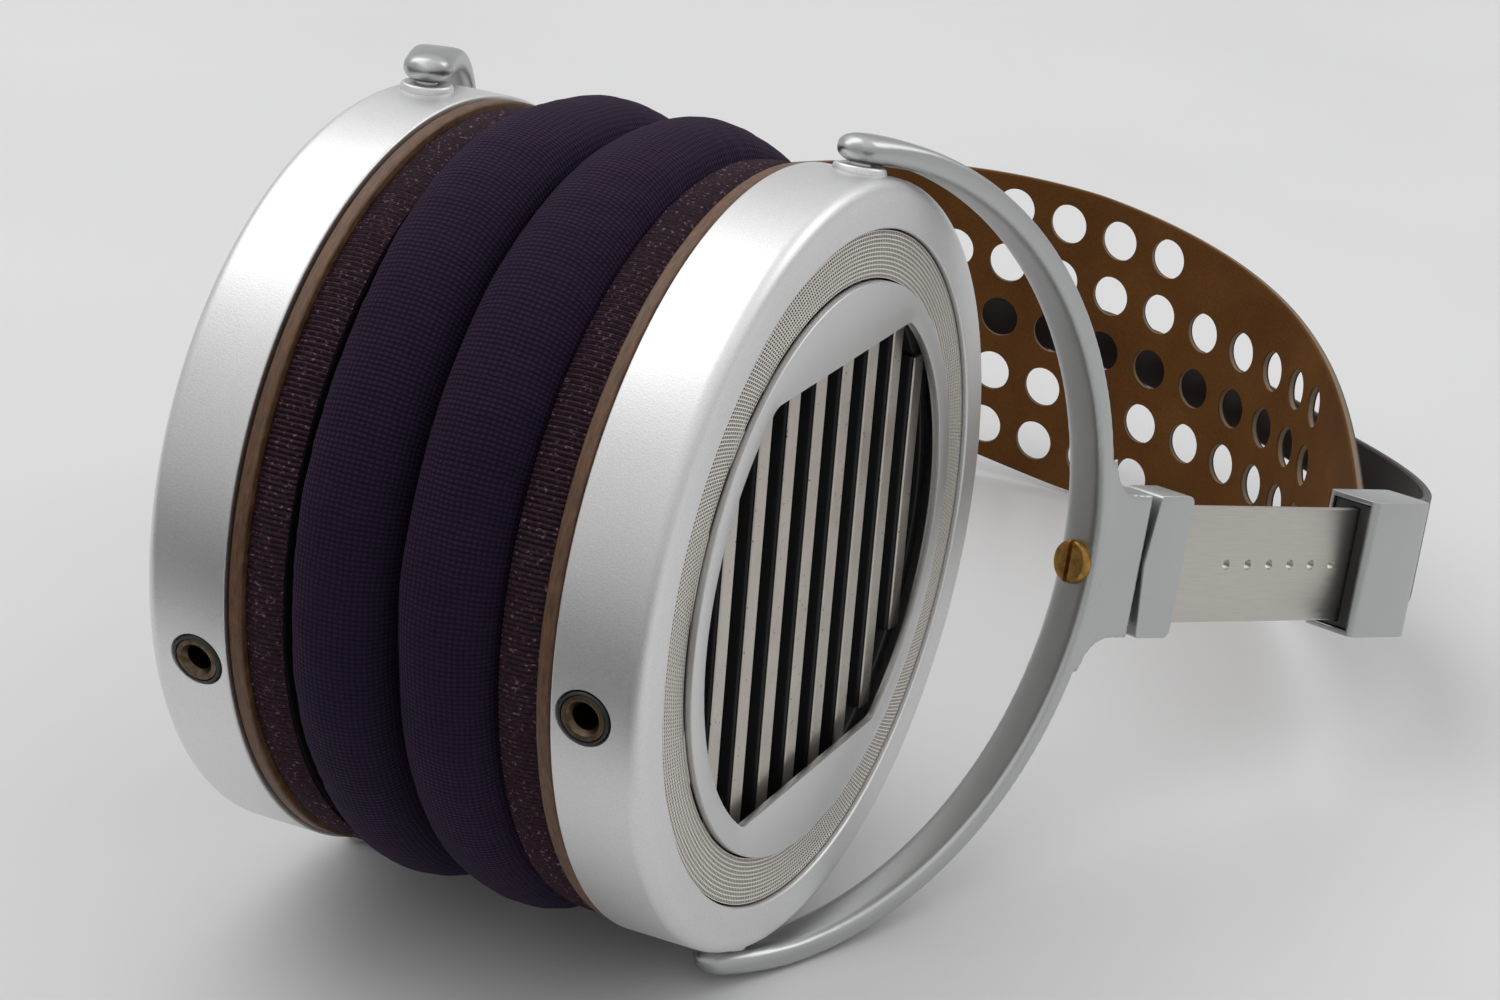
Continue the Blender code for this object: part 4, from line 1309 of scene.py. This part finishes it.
def make_end_block(half):
    limits = [(BLOCK_START, BLOCK_IN), (BLOCK_END, BLOCK_IN), (BLOCK_END, BLOCK_OUT),
              (BLOCK_START, BLOCK_OUT)]
    outline = [(y, -x) for y, x in rounded(limits, [0.0008, 0.0008, 0.0022, 0.0012], 8)]
    made = new_object(half.label + "_end_housing",
                      sawn(outline, -STEM_HALF_WIDTH, STEM_HALF_WIDTH, "Z"), half.stem)
    pocket = block((LINER_IN - FIT, LINER_OUT + FIT), (BLOCK_START - PAST, LINER_END + FIT),
                   (-LINER_HALF - FIT, LINER_HALF + FIT))
    boolean(made, pocket, half.stem)
    arch_room = room_for(ARCH_X, ARCH_THICK, ARCH_END_HALF, BLOCK_END - 3 * PAST, BLOCK_END + PAST)
    boolean(made, arch_room, half.stem)
    bevelled(made, BLOCK_BEVEL, 4, 40)
    fitted(made, YOKE_METAL, "headband", "aluminium_beadblasted", half.label + "_end_block")
    liner = new_object(half.label + "_liner", block(
        (LINER_IN, LINER_OUT), (BLOCK_START + 0.0005, LINER_END), (-LINER_HALF, LINER_HALF)), half.stem)
    boolean(made, slider_room(LINER_END - PAST / 2, BLOCK_END + PAST), half.stem)
    boolean(liner, slider_room(BLOCK_START - PAST, BLOCK_END + PAST), half.stem)
    bevelled(liner, THIN_BEVEL, 2, 50)
    fitted(liner, BLACK, "headband", "black_trim", half.label + "_slot_liner")


for half in HALVES:
    make_stem(half)
    make_slider(half)
    make_end_block(half)
    print(half.label, "stem, slider and end block made")

# %% [markdown]
# ## Arch and strap
# Both bands are drawn flat and then bent along a curve: straight out of the end block, round the
# shoulder and over the crown. The curve leans a little on each side, because the lying headset is
# twisted. A point (along, across, through) of the flat band goes to its place by the curve's length.

# %% The bands' curve
def stem_point(along, out):
    """A point of the right stem's middle plane, in the headset's frame."""
    pivot = HALVES[0].pivot.x
    x = pivot + along * math.sin(SPLAY) + out * math.cos(SPLAY)
    y = along * math.cos(SPLAY) - out * math.sin(SPLAY)
    return Vector((x, y * math.cos(BAND_TWIST), -y * math.sin(BAND_TWIST)))


class BandCurve:
    """The middle line of a band from the right end to the left one."""

    def __init__(self, lead_in, corner, shoulder, crown, steps=120):
        end = stem_point(*lead_in[-1])
        first = stem_point(*lead_in[0])
        right = [(first.lerp(end, i / 12), 0.0) for i in range(12)]
        for i in range(steps + 1):
            t = i / steps
            s = 1 - t
            parts = [s ** 3, 3 * s * s * t, 3 * s * t * t, t ** 3]
            controls = [(end.x, end.y), corner, (shoulder, crown), (0, crown)]
            x, y = (sum(p * c[k] for p, c in zip(parts, controls)) for k in (0, 1))
            right.append((Vector((x, y, end.z * x / end.x)), t))
        left = [(Vector((-p.x, p.y, -p.z)), t) for p, t in reversed(right[:-1])]
        lean = [BAND_TWIST * (1 - t) for _, t in right] + [-BAND_TWIST * (1 - t) for _, t in left]
        self.points = [p for p, _ in right + left]
        self.shares = [t for _, t in right + left]
        self.across = [Vector((0, math.sin(a), math.cos(a))) for a in lean]
        self.lengths = [0.0]
        for a, b in zip(self.points, self.points[1:]):
            self.lengths.append(self.lengths[-1] + (b - a).length)
        self.length = self.lengths[-1]

    def at(self, along):
        """(place, across, through, share) at a length from the crown's middle."""
        along = min(max(along + self.length / 2, 0), self.length)
        i = min(int(np.searchsorted(self.lengths, along, "right")) - 1, len(self.points) - 2)
        t = (along - self.lengths[i]) / (self.lengths[i + 1] - self.lengths[i])
        ways = [(self.points[min(k + 1, len(self.points) - 1)] - self.points[max(k - 1, 0)]).normalized()
                for k in (i, i + 1)]
        way = ways[0].lerp(ways[1], t).normalized()
        across = self.across[i].lerp(self.across[i + 1], t).normalized()
        return (self.points[i].lerp(self.points[i + 1], t), across, way.cross(across).normalized(),
                self.shares[i] + t * (self.shares[i + 1] - self.shares[i]))

    def bend(self, obj):
        """Bends a flat band, x along, y across and z through it, and notes each point's side."""
        layer = obj.data.attributes.new("layer", "FLOAT", "POINT")
        highest = max(abs(v.co.z) for v in obj.data.vertices)
        for i, vertex in enumerate(obj.data.vertices):
            place, across, through, _ = self.at(vertex.co.x)
            layer.data[i].value = vertex.co.z / highest
            vertex.co = HEADSET @ (place + across * vertex.co.y + through * vertex.co.z)
        bm = bmesh.new()
        bm.from_mesh(obj.data)
        bmesh.ops.recalc_face_normals(bm, faces=bm.faces)
        bm.to_mesh(obj.data)
        bm.free()


def flat_band(name, curve, half_width, thickness, steps, cells, edge):
    """A flat band along x whose half width follows the curve's share, with softened edges."""
    rings = []
    for i in range(steps + 1):
        along = curve.length * (i / steps - 0.5)
        half = half_width(curve.at(along)[3])
        top = [(half * (1 - 2 * k / cells), thickness / 2) for k in range(cells + 1)]
        top = [(max(-half + edge, min(half - edge, y)), z) for y, z in top]
        side = [(-half, 0.5 * thickness - edge), (-half, -0.5 * thickness + edge)]
        under = [(y, -z) for y, z in reversed(top)]
        other = [(half, -0.5 * thickness + edge), (half, 0.5 * thickness - edge)]
        rings.append([(along, y, z) for y, z in top + side + under + other])
    return new_object(name, lofted(rings))


# %% Arch
ARCH_CROWN, ARCH_CROWN_HALF, BAND_EDGE = 0.203, 0.0052, 0.0003
ARCH_CURVE = BandCurve([(BLOCK_END - 0.005, ARCH_X), (0.137, ARCH_X)], (0.0873, 0.1586), 0.0325, ARCH_CROWN)


def arch_half(share):
    return ARCH_END_HALF + (ARCH_CROWN_HALF - ARCH_END_HALF) * min(1, 2.2 * share)


arch = flat_band("spring_arch", ARCH_CURVE, arch_half, ARCH_THICK, 150, 2, BAND_EDGE)
ARCH_CURVE.bend(arch)
fitted(arch, ARCH_PAINT, "headband", "spring_band", "arch")
print("arch %.0f mm long" % (1000 * ARCH_CURVE.length))

# %% [markdown]
# The strap's holes lie on a square grid. Python picks the grid points that leave enough leather round
# them, and the tree puts a round punch on each and cuts them all at once.

# %% Strap
STRAP_X, STRAP_THICK, STRAP_CROWN = -0.0051, 0.0014, 0.194
STRAP_END_HALF, STRAP_CROWN_HALF = 0.0102, 0.0275
HOLE_PITCH, HOLE_RADIUS, HOLE_MARGIN, HOLE_END = 0.0103, 0.0035, 0.0025, 0.080
STRAP_CURVE = BandCurve([(0.1195, STRAP_X), (0.126, STRAP_X)], (0.056, 0.1704), 0.0398, STRAP_CROWN)


def strap_half(share):
    return STRAP_END_HALF + (STRAP_CROWN_HALF - STRAP_END_HALF) * (1 - (1 - share) ** 1.52)


def hole_centres():
    spots = []
    columns = int(HOLE_END / HOLE_PITCH)
    for i in range(-columns, columns):
        along = (i + 0.5) * HOLE_PITCH
        for row in range(-2, 3):
            across = row * HOLE_PITCH
            if abs(across) + HOLE_RADIUS + HOLE_MARGIN < strap_half(STRAP_CURVE.at(along)[3]):
                spots.append((along, across, 0))
    mesh = bpy.data.meshes.new("hole_centres")
    mesh.from_pydata(spots, [], [])
    return linked("hole_centres", mesh)


def punch_tree(centres):
    tree = Repeat("punched_strap", {"Centres": ("Object", centres), "Hole radius": ("Float", HOLE_RADIUS),
                                    "Punch length": ("Float", 4 * STRAP_THICK)})
    spots = tree.node("GeometryNodeObjectInfo", {}, {"Object": tree.input("Centres")}, out="Geometry")
    punch = tree.node("GeometryNodeMeshCylinder", {}, {"Vertices": 40, "Radius": tree.input("Hole radius"),
                                                       "Depth": tree.input("Punch length")})
    punches = tree.node("GeometryNodeInstanceOnPoints", {}, {"Points": spots, "Instance": punch})
    punches = tree.node("GeometryNodeRealizeInstances", {}, {"Geometry": punches})
    blank = Value(tree, tree.source.outputs["Geometry"])
    cut = tree.node("GeometryNodeMeshBoolean", {"operation": "DIFFERENCE", "solver": "EXACT"}, {
        "Mesh 1": blank, "Mesh 2": punches})
    tree.output(cut, LEATHER.material)
    return tree


centres = hole_centres()
strap = flat_band("leather_strap", STRAP_CURVE, strap_half, STRAP_THICK, 180, 16, BAND_EDGE)
punch_tree(centres).apply(strap)
print("strap", round(1000 * STRAP_CURVE.length), "mm long,", len(centres.data.vertices), "holes")
bpy.data.objects.remove(centres)
STRAP_CURVE.bend(strap)
fitted(strap, LEATHER, "headband", "strap_leather", "strap")
